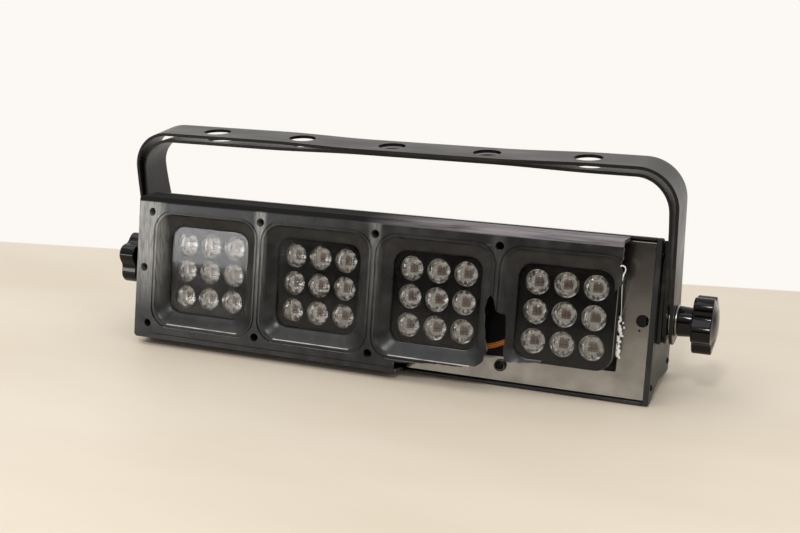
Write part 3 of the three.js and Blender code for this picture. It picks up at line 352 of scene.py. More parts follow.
BRASS = plain("nickel_brass_contact", "#c8b27a", 0.25, Metallic=1.0)
FILTER = plain("red_filter_acrylic", "#8a1216", 0.06, 4.0, 0.004, IOR=1.49, Transmission_Weight=0.95)
DIGIT = plain("led_digit_block", "#3c3b3a", 0.5)
SEGMENT = plain("led_segment", "#b9a39c", 0.45)
RUBBER = plain("silicone_button", "#1d1d1f", 0.6, 0.8)


# ---------------------------------------------------------------- shapes

def rounded(corners, steps=10):
    """A closed outline; each corner is (a, b) or (a, b, radius)."""
    points = []
    for i, corner in enumerate(corners):
        here = Vector(corner[:2])
        radius = corner[2] if len(corner) > 2 else 0.0
        if radius <= 0:
            points.append(tuple(here))
            continue
        before = Vector(corners[i - 1][:2]) - here
        after = Vector(corners[(i + 1) % len(corners)][:2]) - here
        half = before.angle(after) / 2
        radius = min(radius, 0.98 * min(before.length, after.length) / 2 * math.tan(half))
        middle = (before.normalized() + after.normalized()).normalized() * (radius / math.sin(half))
        arm = before.normalized() * (radius / math.tan(half)) - middle
        turn = math.copysign(math.pi - 2 * half, after.cross(before))
        for k in range(steps + 1):
            points.append(tuple(here + middle + Matrix.Rotation(turn * k / steps, 2) @ arm))
    return points


def square(w, h, radius=0.0, steps=10):
    return rounded([(w, -h, radius), (w, h, radius), (-w, h, radius), (-w, -h, radius)], steps)


def skin(rings, closed=False):
    """A mesh through rings of points; its ends are filled, or joined when it is closed."""
    bm = bmesh.new()
    rows = [[bm.verts.new(point) for point in ring] for ring in rings]
    pairs = list(zip(rows, rows[1:])) + ([(rows[-1], rows[0])] if closed else [])
    for low, high in pairs:
        for i in range(max(len(low), len(high))):
            j = i + 1
            ring = [low[i % len(low)], low[j % len(low)], high[j % len(high)], high[i % len(high)]]
            bm.faces.new(list(dict.fromkeys(ring)))
    if not closed:
        for ring in (rows[0], rows[-1]):
            if len(ring) > 2:
                bm.faces.new(ring)
    bmesh.ops.recalc_face_normals(bm, faces=bm.faces)
    return as_mesh(bm)


def as_mesh(bm):
    mesh = bpy.data.meshes.new("work")
    bm.to_mesh(mesh)
    bm.free()
    return mesh


def along_y(points, front, back):
    """An outline in x and z, given its depth along y."""
    return stacked([(points, front), (points, back)])


def along_x(points, low, high):
    """An outline in y and z, run along x."""
    return skin([[(x, a, b) for a, b in points] for x in (low, high)])


def stacked(layers):
    """A solid through outlines in x and z, each (outline, y)."""
    return skin([[(a, y, b) for a, b in points] for points, y in layers])


def around(count):
    """Cosine and sine of even steps round a circle."""
    angles = [2 * math.pi * k / count for k in range(count)]
    return [(math.cos(angle), math.sin(angle)) for angle in angles]


def turned(profile, steps=48, closed=False, facing="Y", at=(0.0, 0.0, 0.0)):
    """A turned form: profile is (radius, distance along the axis)."""
    rings = [[(radius * across, along, radius * up) for across, up in around(steps)[:steps if radius else 1]]
             for radius, along in profile]
    mesh = skin(rings, closed)
    if facing == "X":
        mesh.transform(Matrix.Rotation(-math.pi / 2, 4, "Z"))
    mesh.transform(Matrix.Translation(at))
    return mesh


def rod(radius, front, back, x=0.0, z=0.0, steps=32, facing="Y"):
    """A closed cylinder along y, or along x about the origin's axis."""
    return turned([(0.0, front), (radius, front), (radius, back), (0.0, back)], steps, facing=facing,
                  at=(x, 0.0, z))


def block(low, high):
    x0, y0, z0 = low
    x1, y1, z1 = high
    return along_y([(x1, z0), (x1, z1), (x0, z1), (x0, z0)], y0, y1)


def brick(half_w, half_h, front, back, x=0.0, z=0.0):
    """A box about (x, z), given its depth along y."""
    return block((x - half_w, front, z - half_h), (x + half_w, back, z + half_h))


def four_corners(x, y, dx, dz):
    """Four places round (x, 0) at depth y."""
    return [(x + sx * dx, y, sz * dz) for sx in (-1, 1) for sz in (-1, 1)]


def eased(value, low, high):
    """Nought below low, one above high, smooth between them."""
    share = max(0.0, min(1.0, (value - low) / (high - low)))
    return share * share * (3 - 2 * share)


def merged(meshes, materials=(), weld=0.0):
    """Several meshes as one, each with its material number; points closer than weld are joined."""
    bm = bmesh.new()
    for number, mesh in enumerate(meshes):
        first = len(bm.faces)
        bm.from_mesh(mesh)
        bm.faces.ensure_lookup_table()
        if materials:
            for face in bm.faces[first:]:
                face.material_index = materials[number]
    if weld:
        bmesh.ops.remove_doubles(bm, verts=bm.verts, dist=weld)
    return as_mesh(bm)


def moved(mesh, x=0.0, y=0.0, z=0.0):
    copy = mesh.copy()
    copy.transform(Matrix.Translation((x, y, z)))
    return copy


def divided(points, step):
    """A closed outline with its long sides cut into shorter ones."""
    result = []
    for a, b in zip(points, points[1:] + points[:1]):
        count = max(1, math.ceil((Vector(b) - Vector(a)).length / step))
        result += [tuple(Vector(a).lerp(Vector(b), k / count)) for k in range(count)]
    return result


def tube(path, radius, sides=12, closed=False):
    """A round wire along points; its ends are closed unless it is a ring."""
    rings = []
    count = len(path)
    for i, point in enumerate(path):
        if closed:
            ahead = path[(i + 1) % count] - path[i - 1]
        else:
            ahead = path[min(i + 1, count - 1)] - path[max(i - 1, 0)]
        turn = ahead.to_track_quat("Z", "X")
        rings.append([tuple(point + turn @ Vector((radius * across, radius * up, 0.0)))
                      for across, up in around(sides)])
    return skin(rings, closed)


def hidden(mesh, materials=()):
    """A work object that is not kept."""
    for material in materials:
        mesh.materials.append(material)
    made = bpy.data.objects.new("work", mesh)
    bpy.context.scene.collection.objects.link(made)
    return made


def shaped(worker):
    """The worker's mesh with its modifiers applied; the worker is removed."""
    bpy.context.view_layer.update()
    mesh = bpy.data.meshes.new_from_object(worker.evaluated_get(bpy.context.evaluated_depsgraph_get()))
    bpy.data.objects.remove(worker)
    return mesh


def carved(mesh, tools, operation="DIFFERENCE", materials=()):
    """Cuts, joins or keeps the overlap of a mesh with tools that do not touch each other."""
    worker = hidden(mesh, materials[:1])
    tool = hidden(merged(tools), materials[1:])
    cut = worker.modifiers.new("cut", "BOOLEAN")
    cut.object = tool
    cut.operation = operation
    cut.solver = "EXACT"
    if materials:
        cut.material_mode = "TRANSFER"
    result = shaped(worker)
    bpy.data.objects.remove(tool)
    return result


def softened(mesh, width, angle=32.0, segments=2):
    """Small rounds on the edges sharper than angle."""
    worker = hidden(mesh)
    edge = worker.modifiers.new("edge", "BEVEL")
    edge.width = width
    edge.segments = segments
    edge.limit_method = "ANGLE"
    edge.angle_limit = math.radians(angle)
    edge.use_clamp_overlap = True
    return shaped(worker)


def piece(name, mesh, materials, body="housing", replaces=(), slot=None, place=BODY, smooth=40.0):
    """A finished piece at the origin, riding on its body."""
    mesh.transform(place)
    materials = materials if isinstance(materials, (list, tuple)) else [materials]
    numbers = [min(face.material_index, len(materials) - 1) for face in mesh.polygons]
    mesh.materials.clear()
    for material in materials:
        mesh.materials.append(material)
    mesh.polygons.foreach_set("material_index", numbers)
    mesh.shade_smooth()
    mesh.set_sharp_from_angle(angle=math.radians(smooth))
    made = bpy.data.objects.new(name, mesh)
    mesh.name = name
    bpy.context.scene.collection.objects.link(made)
    weighted = made.modifiers.new("even", "WEIGHTED_NORMAL")
    weighted.keep_sharp = True
    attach(made, body)
    if replaces:
        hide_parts(*replaces)
    return made


def wear(node, material):
    """A carried-over node takes a finish."""
    mesh = frame["nodes"][node].data
    mesh.materials.clear()
    mesh.materials.append(material)


# ---------------------------------------------------------------- repeats

def repeated(name, item, material, sizes, lay):
    """Copies of an item on the points that lay adds to a Geometry Nodes tree; sizes are the tree's
    named number inputs."""
    source = hidden(item)
    tree = bpy.data.node_groups.new(name, "GeometryNodeTree")
    tree.interface.new_socket("Geometry", in_out="INPUT", socket_type="NodeSocketGeometry")
    tree.interface.new_socket("Geometry", in_out="OUTPUT", socket_type="NodeSocketGeometry")
    keys = {key: tree.interface.new_socket(key, in_out="INPUT", socket_type="NodeSocketFloat").identifier
            for key in sizes}
    entry = add(tree, "NodeGroupInput")
    one = add(tree, "GeometryNodeObjectInfo", {"Object": source})
    spread = add(tree, "GeometryNodeInstanceOnPoints",
                 {"Instance": one.outputs["Geometry"], **lay(tree, entry.outputs)})
    whole = add(tree, "GeometryNodeRealizeInstances", {"Geometry": spread})
    coated = add(tree, "GeometryNodeSetMaterial", {"Geometry": whole, "Material": material})
    add(tree, "NodeGroupOutput", {0: coated})
    worker = hidden(bpy.data.meshes.new("work"))
    modifier = worker.modifiers.new(name, "NODES")
    modifier.node_group = tree
    for key, value in sizes.items():
        modifier[keys[key]] = float(value)
    mesh = shaped(worker)
    bpy.data.objects.remove(source)
    return mesh


def grid_of(name, item, material, pitch, count=3):
    """The same item on a square grid in x and z, about the origin."""
    def lay(tree, sizes):
        span = add(tree, "ShaderNodeMath", {0: sizes["Pitch"], 1: count - 1.0}, operation="MULTIPLY")
        field = add(tree, "GeometryNodeMeshGrid", {"Size X": span, "Size Y": span,
                                                  "Vertices X": count, "Vertices Y": count})
        upright = add(tree, "GeometryNodeTransform", {"Geometry": field, "Rotation": (math.pi / 2, 0.0, 0.0)})
        return {"Points": upright}

    return repeated(name, item, material, {"Pitch": pitch}, lay)


def row_of(name, item, material, pitch, count):
    """The same item in a row along x, about the origin."""
    def lay(tree, sizes):
        step = add(tree, "ShaderNodeCombineXYZ", {"X": sizes["Pitch"]})
        half = add(tree, "ShaderNodeMath", {0: sizes["Pitch"], 1: -(count - 1) / 2}, operation="MULTIPLY")
        start = add(tree, "ShaderNodeCombineXYZ", {"X": half})
        line = add(tree, "GeometryNodeMeshLine", {"Count": count, "Start Location": start, "Offset": step})
        return {"Points": line}

    return repeated(name, item, material, {"Pitch": pitch}, lay)


def at_places(name, item, material, places):
    """The same item at listed places, each (x, y, z)."""
    points = bpy.data.meshes.new("work")
    points.from_pydata([Vector(place) for place in places], [], [])
    spots = hidden(points)

    def lay(tree, sizes):
        marks = add(tree, "GeometryNodeObjectInfo", {"Object": spots})
        scale = add(tree, "ShaderNodeCombineXYZ", {axis: sizes["Size"] for axis in "XYZ"})
        return {"Points": marks.outputs["Geometry"], "Scale": scale}

    mesh = repeated(name, item, material, {"Size": 1.0}, lay)
    bpy.data.objects.remove(spots)
    return mesh


def pan_screw(radius=3.0, height=1.9, outward=-1):
    """A pan head with a cross recess, its seat at y = 0, its head towards outward."""
    head = turned([(0.0, height), (radius * 0.45, height * 0.98), (radius * 0.8, height * 0.78),
                   (radius * 0.97, height * 0.42), (radius, 0.1), (radius * 0.98, 0.0), (0.0, 0.0)], 32)
    arm, deep, blade = radius * 0.62, height * 0.45, radius * 0.13
    for half_w, half_h in ((arm, blade), (blade, arm)):
        head = carved(head, [brick(half_w, half_h, deep, height + 1)])
    if outward < 0:
        head.transform(Matrix.Rotation(math.pi, 4, "X"))
    return head


# ---------------------------------------------------------------- camera

def camera():
    """The photograph's view: place and directions from the fitted lens centres."""
    lens = bpy.data.cameras.new("view")
    lens.sensor_width = SENSOR
    lens.lens = SENSOR * FOCAL_PIXELS / PHOTO_WIDTH
    lens.clip_start = 0.01
    eye = bpy.data.objects.new("view", lens)
    bpy.context.scene.collection.objects.link(eye)
    turn = Matrix.Rotation(-LEAN, 3, "X")
    ahead = (turn @ Vector((-0.3588, 0.9277, -0.1037))).normalized()
    across = (turn @ Vector((0.9279, 0.3665, 0.0682))).normalized()
    above = across.cross(ahead).normalized()
    across = ahead.cross(above)
    eye.matrix_world = Matrix((across, above, -ahead)).transposed().to_4x4()
    eye.location = BODY @ Vector((347.4, -866.9, 117.9))
    bpy.context.scene.camera = eye


# ---------------------------------------------------------------- stage and light

def backdrop():
    """A pale table top; past its back edge the floor is near white, like the wall behind it."""
    floor = bpy.data.meshes.new("table_top")
    floor.from_pydata([(-12, -12, 0), (12, -12, 0), (12, 12, 0), (-12, 12, 0)], [], [(0, 1, 2, 3)])
    made, tree, shader = shade("pale_table", "#d8cdbc", 0.5)
    layer(tree, shader, 160.0, (0.3, 1.0, 1.0), 5.0, Base_Color=[(0.3, "#dcd2c2"), (0.75, "#d1c5b2")])
    place = add(tree, "ShaderNodeTexCoord").outputs["Object"]
    lean = add(tree, "ShaderNodeMapping", {"Vector": place, "Location": (0.0, -TABLE_DEPTH, 0.0),
                                           "Rotation": (0.0, 0.0, -math.atan(TABLE_SLOPE))})
    split = add(tree, "ShaderNodeSeparateXYZ", {"Vector": lean})
    beyond = add(tree, "ShaderNodeMapRange", {"Value": split.outputs["Y"], "From Max": 0.004})
    ray = add(tree, "ShaderNodeLightPath").outputs
    seen = ray["Is Camera Ray"]
    for kind in ("Is Glossy Ray", "Is Transmission Ray"):
        seen = add(tree, "ShaderNodeMath", {0: seen, 1: ray[kind]}, operation="MAXIMUM")
    wall = add(tree, "ShaderNodeMath", {0: seen, 1: beyond}, operation="MULTIPLY")
    white = add(tree, "ShaderNodeEmission", {"Color": WALL, "Strength": 1.0})
    add(tree, "ShaderNodeMixShader", {0: wall, 1: shader, 2: white},
        to=tree.nodes["Material Output"].inputs["Surface"])
    floor.materials.append(made)
    top = bpy.data.objects.new("table_top", floor)
    bpy.context.scene.collection.objects.link(top)

    world = bpy.data.worlds.new("studio")
    bpy.context.scene.world = world
    world.use_nodes = True
    tree = world.node_tree
    sky = tree.nodes["Background"]
    place = add(tree, "ShaderNodeTexCoord").outputs["Generated"]
    split = add(tree, "ShaderNodeSeparateXYZ", {"Vector": place}).outputs
    behind = add(tree, "ShaderNodeMapRange", {"Value": split["Y"], "From Min": -0.35, "From Max": 0.3})
    above = add(tree, "ShaderNodeMapRange", {"Value": split["Z"], "From Min": 0.12, "From Max": 0.5})
    room = add(tree, "ShaderNodeMix", {"Factor": behind, 6: "#2c2824", 7: WALL}, data_type="RGBA")
    add(tree, "ShaderNodeMix", {"Factor": above, 6: room, 7: "#e2dfdb"}, data_type="RGBA",
        to=sky.inputs["Color"])
    sky.inputs["Strength"].default_value = 1.0
    bpy.context.scene.view_settings.view_transform = "Standard"


def lamp(name, place, size, power):
    """A rectangular lamp that looks at the middle of the light."""
    light = bpy.data.lights.new(name, "AREA")
    light.shape = "RECTANGLE"
    light.size, light.size_y = size
    light.energy = power
    made = bpy.data.objects.new(name, light)
    bpy.context.scene.collection.objects.link(made)
    made.location = place
    made.rotation_euler = (Vector(LAMP_TARGET) - Vector(place)).to_track_quat("-Z", "Y").to_euler()


# ---------------------------------------------------------------- bezel

def octagon(w, h, c, radius, steps=5):
    """A rectangle with its corners cut off by c."""
    corners = [(w, -h + c), (w, h - c), (w - c, h), (-w + c, h), (-w, h - c), (-w, -h + c), (-w + c, -h),
               (w - c, -h)]
    return rounded([(x, z, radius) for x, z in corners], steps)


def funnel(grow, reach):
    """One funnel: a soft S from the mouth to the floor."""
    layers = []
    for share in (0.0, 0.12, 0.3, 0.55, 0.8, 0.92, 1.0):
        ease = share - 0.1 * math.sin(2 * math.pi * share)
        half = MOUTH_HALF + (FLOOR_HALF - MOUTH_HALF) * ease
        corner = MOUTH_CORNER + (FLOOR_CORNER - MOUTH_CORNER) * ease
        y = BEZEL_FRONT + (FUNNEL_BACK - BEZEL_FRONT) * share
        layers.append((square(half + grow, half + grow, corner + grow, 12), y))
    first, last = layers[0], layers[-1]
    if reach:
        layers.insert(0, (first[0], first[1] - reach))
        layers.append((last[0], last[1] + reach))
    return stacked(layers)


def tear_outline():
    """What broke off, seen from the front, with a ragged edge."""
    third, fourth, lip = PODS[2], PODS[3], -MOUTH_HALF - 1.6
    far = BEZEL_H + 5.0
    end = fourth + MOUTH_HALF - 4.8
    tear = [(-0.61, 1.05), (-0.5, 1.06), (-0.02, 1.01), (0.22, 1.0), (0.47, 1.0), (0.79, 0.955), (0.9, 0.9)]
    hole = [(-0.24, -0.7), (-0.38, -0.55), (-0.44, -0.42), (-0.52, -0.21), (-0.55, 0.0), (-0.46, 0.12),
            (-0.23, 0.235), (-0.04, 0.08), (0.08, -0.055), (0.42, -0.075), (0.48, -0.115), (0.52, -0.44),
            (0.48, -0.6), (0.47, -0.71)]
    ledge = [(-0.88, -0.845), (-0.83, -0.853), (-0.6, -0.838), (-0.31, -0.817), (-0.25, -0.72)]
    upper = [(0.76, 0.46), (0.92, 0.61), (0.935, 0.7), (0.87, 0.9)]
    points = [(third + MOUTH_HALF * tear[0][0], -far)]
    points += [(third + MOUTH_HALF * u, lip * v) for u, v in tear]
    points += [(POD_PITCH + 16.8 * u, MOUTH_HALF * v) for u, v in hole]
    points += [(fourth + MOUTH_HALF * u, MOUTH_HALF * v) for u, v in ledge + upper]
    points += [(end, -lip), (end, far)]
    ragged = []
    for a, b in zip(points, points[1:]):
        start, stop = Vector(a), Vector(b)
        count = max(1, int((stop - start).length / 1.6))
        side = (stop - start).orthogonal().normalized()
        for k in range(count):
            here = start.lerp(stop, k / count)
            drift = noise.noise(Vector((here.x * 0.35, here.y * 0.35, 4.0))) * 0.9
            ragged.append(tuple(here + side * (drift if k else 0.0)))
    ragged.append(points[-1])
    return ragged + [(BEZEL_W + 8, far), (BEZEL_W + 8, -far)]


def bezel():
    """The moulding: outside, cavity, funnels, screw bosses, lip grooves, then what broke off."""
    outer, cavity = [stacked([(octagon(BEZEL_W + grow, BEZEL_H + grow, cut, radius=radius), y)
                              for grow, cut, radius, y in layers]) for layers in (
        [(-4.9, 17.0, 3.0, BEZEL_FRONT), (-4.0, 17.0, 3.0, BORDER_FRONT),
         (0.0, 2.0, 1.2, BORDER_FRONT), (1.9, 2.0, 1.2, BEZEL_BACK)],
        [(-2.4, 2.0, 1.0, BEZEL_FRONT + BEZEL_WALL + 1.0), (-0.5, 2.0, 1.0, BEZEL_BACK + 3.0)])]
    for vertex in list(outer.vertices) + list(cavity.vertices):
        vertex.co.x -= LEFT_BORDER if vertex.co.x < 0 else 0.0
    walls, throat = funnel(BEZEL_WALL, 0.0), funnel(0.0, 3.0)
    lips = [along_y(square(MOUTH_HALF + grow, MOUTH_HALF + grow, MOUTH_CORNER + grow, 12),
                    BEZEL_FRONT - front, BEZEL_FRONT + back)
            for grow, front, back in ((GROOVE[1], 3.0, 1.2), (GROOVE[0], 4.0, 2.0))]
    groove = carved(lips[0], lips[1:])
    places, boss = SEAM_SCREWS + END_SCREWS, BORDER_FRONT + 1.0
    head, drop = BEZEL_FRONT - 3.0, 2.5
    shell = outer
    for operation, tools in (
            ("DIFFERENCE", [cavity]),
            ("UNION", [moved(walls, x) for x in PODS]),
            ("UNION", [rod(BOSS_RADIUS, boss, 1.5 if x > -200 else -0.1, x, z) for x, z in places if z]),
            ("UNION", [rod(BOSS_RADIUS, boss, BEZEL_BACK - 0.1, x, z) for x, z in places if not z]),
            ("DIFFERENCE", [moved(throat, x) for x in PODS]),
            ("DIFFERENCE", [moved(groove, x) for x in PODS]),
            ("DIFFERENCE", [rod(3.4, head, SCREW_SEAT - (0.0 if z else drop), x, z) for x, z in places]),
            ("DIFFERENCE", [rod(2.0, -6.0, 4.0, x, z, 16) for x, z in places])):
        shell = carved(shell, tools, operation)
    shell = softened(shell, 0.35)
    shell = carved(shell, [along_y(tear_outline(), BEZEL_FRONT - 4.0, 3.0)], materials=[ABS, TORN])
    # The upward-facing faces on the lower lip of each mouth are painted light grey: a painted highlight
    for face in shell.polygons:
        from_pod = min(abs(face.center.x - x) for x in PODS)
        low = MOUTH_HALF - 0.4 < -face.center.z < MOUTH_HALF + GROOVE[1] + 0.4
        proud = face.center.y < BEZEL_FRONT + 1.1 and face.normal.z > 0.2
        if face.material_index == 0 and low and from_pod < 37.0 and proud:
            face.material_index = 2
    piece("bezel_moulding", shell, [ABS, TORN, LIP_HIGHLIGHT], replaces=["bezel"], slot="black_plastic")
    screws = [place for place in places if place[0] < 60 or place[1] > 0]
    bright = [END_SCREWS[0]]
    dark = [place for place in screws if place not in bright]
    for title, coat, slot, spots in (("bezel_screws", SCREW, "black_paint", dark),
                                     ("bezel_screw_bright", ZINC, "zinc_steel", bright)):
        heads = at_places(title, pan_screw(SCREW_HEAD, 2.1), coat,
                          [(x, SCREW_SEAT - 0.02 - (0.0 if z else drop), z) for x, z in spots])
        piece(title, heads, coat, slot=slot)


def boss_stub():
    """The foot of a boss that broke off round its screw, ragged where it tore."""
    rings = []
    for radius, y, torn in ((2.1, 1.3, 0), (BOSS_RADIUS, 1.3, 0), (BOSS_RADIUS, -2.6, 0), (4.3, -3.4, 1),
                            (3.4, -3.2, 1), (3.3, -0.6, 0), (2.1, -0.5, 0)):
        ring = []
        for across, up in around(40):
            ragged = 0.8 * noise.noise(Vector((across * 1.7, up * 1.7, 3.0))) if torn else 0.0
            ring.append((radius * across, y + ragged, radius * up))
        rings.append(ring)
    x, z = POD_PITCH, -SCREW_ROW
    piece("broken_boss_foot", moved(skin(rings, closed=True), x, 0.0, z), ABS, replaces=["boss_stub"],
          slot="black_plastic")
    piece("broken_boss_screw", moved(pan_screw(SCREW_HEAD, 1.8), x, -0.65, z), SCREW, slot="black_paint")


def residue():
    """Torn white adhesive left beside the last pod, and a stress-whitened curl of the moulding."""
    bm = bmesh.new()
    dice = random.Random(7)
    spots = [(191.9 + dice.uniform(-1.6, 1.6), 1.0 - 30.5 * k / 25, dice.uniform(0.8, 1.9))
             for k in range(26)]
    spots += [(194.3 + dice.uniform(-1.0, 1.6), z, 0.8) for z in (-3.0, -6.5, -11.0, -13.0, -17.5)]
    spots += [(187.6 + dice.uniform(-0.8, 0.8), z, 0.7) for z in (-5.0, -12.5, -14.5)]
    for x, z, size in spots:
        place = Matrix.Translation((x, -0.5 - 0.3 * size, z))
        place @= Matrix.Diagonal((size * 0.85, 0.7 * size, size * 1.15, 1))
        bmesh.ops.create_icosphere(bm, subdivisions=2, radius=1.0, matrix=place)
    worker = hidden(as_mesh(bm))
    fused = worker.modifiers.new("fused", "REMESH")
    fused.mode = "VOXEL"
    fused.voxel_size = 0.28
    mesh = shaped(worker)
    for vertex in mesh.vertices:
        vertex.co += vertex.normal * 0.45 * noise.noise(vertex.co * 1.1)
        vertex.co.y = min(vertex.co.y, -0.05)
    piece("adhesive_residue", mesh, SILICONE, smooth=60.0)

    hook = [(193.3, -25.6, 41.6), (195.0, -26.6, 42.2), (196.8, -27.0, 41.4), (197.4, -26.6, 39.4),
            (196.9, -26.0, 37.6), (196.0, -25.4, 36.2)]
    strand = [(195.6, -25.2, 34.0), (194.6, -20.0, 26.0), (193.6, -12.0, 16.0), (192.8, -4.5, 7.0),
              (192.2, -0.9, 1.0)]
    curls = [tube([Vector(point) for point in path], radius, 8)
             for path, radius in ((hook + strand[:1], 0.42), (strand, 0.26))]
    piece("torn_curl", merged(curls), SILICONE, slot="black_plastic", smooth=60.0)


# ---------------------------------------------------------------- front plate, housing and ends

def side_profile(inset, front_inset, radius=0.0):
    """The housing's section in y and z, from the upper front round the back."""
    upper = [(-3.0 + front_inset, RIM_HALF - inset), (5.0, RIM_HALF - inset, 4.0),
             (FLARE, BOX_HALF - inset, 9.0), (HOUSING_DEPTH - inset, BOX_HALF - inset, radius)]
    lower = [(corner[0], -corner[1]) + tuple(corner[2:]) for corner in reversed(upper)]
    return upper + lower


def front_plate():
    """Bare steel with folded edges, a long cut-out, screw holes and one small hole."""
    half, sheet, fold = RIM_HALF - SHEET - 0.3, 1.5, 4.6
    section = rounded([(0.0, -half, 1.0), (fold, -half), (fold, -half + sheet), (sheet, -half + sheet, 1.0),
                       (sheet, half - sheet, 1.0), (fold, half - sheet), (fold, half), (0.0, half, 2.5)], 6)
    plate = along_x(section, -HOUSING_HALF, HOUSING_HALF)
    holes = [along_y(square(CUTOUT_W, CUTOUT_H, 1.5, 4), -3.0, 8.0)]
    holes += [rod(4.8, -3.0, 4.0, x, z) for x, z in SEAM_SCREWS + PLATE_HOLES]
    holes.append(rod(0.8, -3.0, 4.0, 206.6, -7.4, 12))
    plate = softened(carved(plate, holes), 0.15)
    piece("front_plate_steel", plate, STEEL, replaces=["front_plate"], slot="bare_steel")


def housing():
    """The folded sheet, its two rows of vent slots, the panel's cut-out and the eye's hole."""
    outside = side_profile(0.0, 0.0, 3.0)
    inside = side_profile(SHEET, 0.0, 1.0)
    shell = along_x(rounded(outside + list(reversed(inside)), 8), -HOUSING_HALF, HOUSING_HALF)
    slots = row_of("vent_slots", along_y(square(1.6, 27.0, 1.5, 6), *BACK_CUT), PAINT, 9.0, 9)
    tools = [moved(slots, VENTS_X), moved(slots, -VENTS_X), brick(106, 25, *BACK_CUT),
             rod(2.7, *BACK_CUT, EYE_X, EYE_Z)]
    piece("housing_sheet", softened(carved(shell, tools), 0.3), PAINT, replaces=["housing_shell"],
          slot="black_paint")


def end_cap(side, name):
    """Cast cap with its pivot hole and four screws."""
    cap = softened(along_x(rounded(side_profile(0.0, 0.0, 3.0), 8), *CAP), 0.8, segments=3)
    cap = carved(cap, [moved(rod(STUD_HOLE, 210.0, 222.0, facing="X"), 0.0, PIVOT_Y)])
    head = pan_screw(2.6, 1.3)
    head.transform(Matrix.Rotation(math.pi / 2, 4, "Z"))
    heads = at_places(f"end_cap_screws_{name}", head, SCREW,
                      [(CAP[1], y, z) for y, z in ((4.0, -50.0), (4.0, 50.0), (78.0, -40.0), (78.0, 40.0))])
    if side < 0:
        cap, heads = flipped(cap), flipped(heads)
    piece(f"end_cap_casting_{name}", cap, PAINT, replaces=[f"end_cap_{name}"], slot="black_paint")
    piece(f"end_cap_screws_{name}", heads, SCREW, slot="black_paint")


def flipped(mesh):
    """A mirror image in x with its faces outwards."""
    bm = bmesh.new()
    bm.from_mesh(mesh)
    bmesh.ops.scale(bm, vec=(-1.0, 1.0, 1.0), verts=bm.verts)
    bmesh.ops.reverse_faces(bm, faces=bm.faces)
    return as_mesh(bm)


# ---------------------------------------------------------------- pods

def lens_part(wants_cone):
    """One collimating lens: a centre dome over the emitter, a step, a falling outer ring, a cone and
    a flat back; either the faces of its cone or all the others."""
    profile = [(0.0, -16.4), (1.2, -16.34), (2.4, -16.15), (3.6, -15.84), (4.6, -15.46), (5.3, -15.12),
               (5.5, -15.2), (6.6, -15.1), (7.6, -14.8), (8.5, -14.3), (9.1, -13.75), (9.4, -13.3),
               (9.5, -13.0), (9.0, -12.2), (8.2, -10.8), (7.1, -9.0), (5.9, -7.6), (5.5, -7.4), (0.0, -7.4)]
    cone_front, cone_back, cone_narrow = -12.9, -7.45, 5.4
    bm = bmesh.new()
    bm.from_mesh(turned(profile, 40))
    others = []
    for face in bm.faces:
        middle = face.calc_center_median()
        cone = cone_front < middle.y < cone_back and math.hypot(middle.x, middle.z) > cone_narrow
        if cone != wants_cone:
            others.append(face)
    bmesh.ops.delete(bm, geom=others, context="FACES")
    return as_mesh(bm)


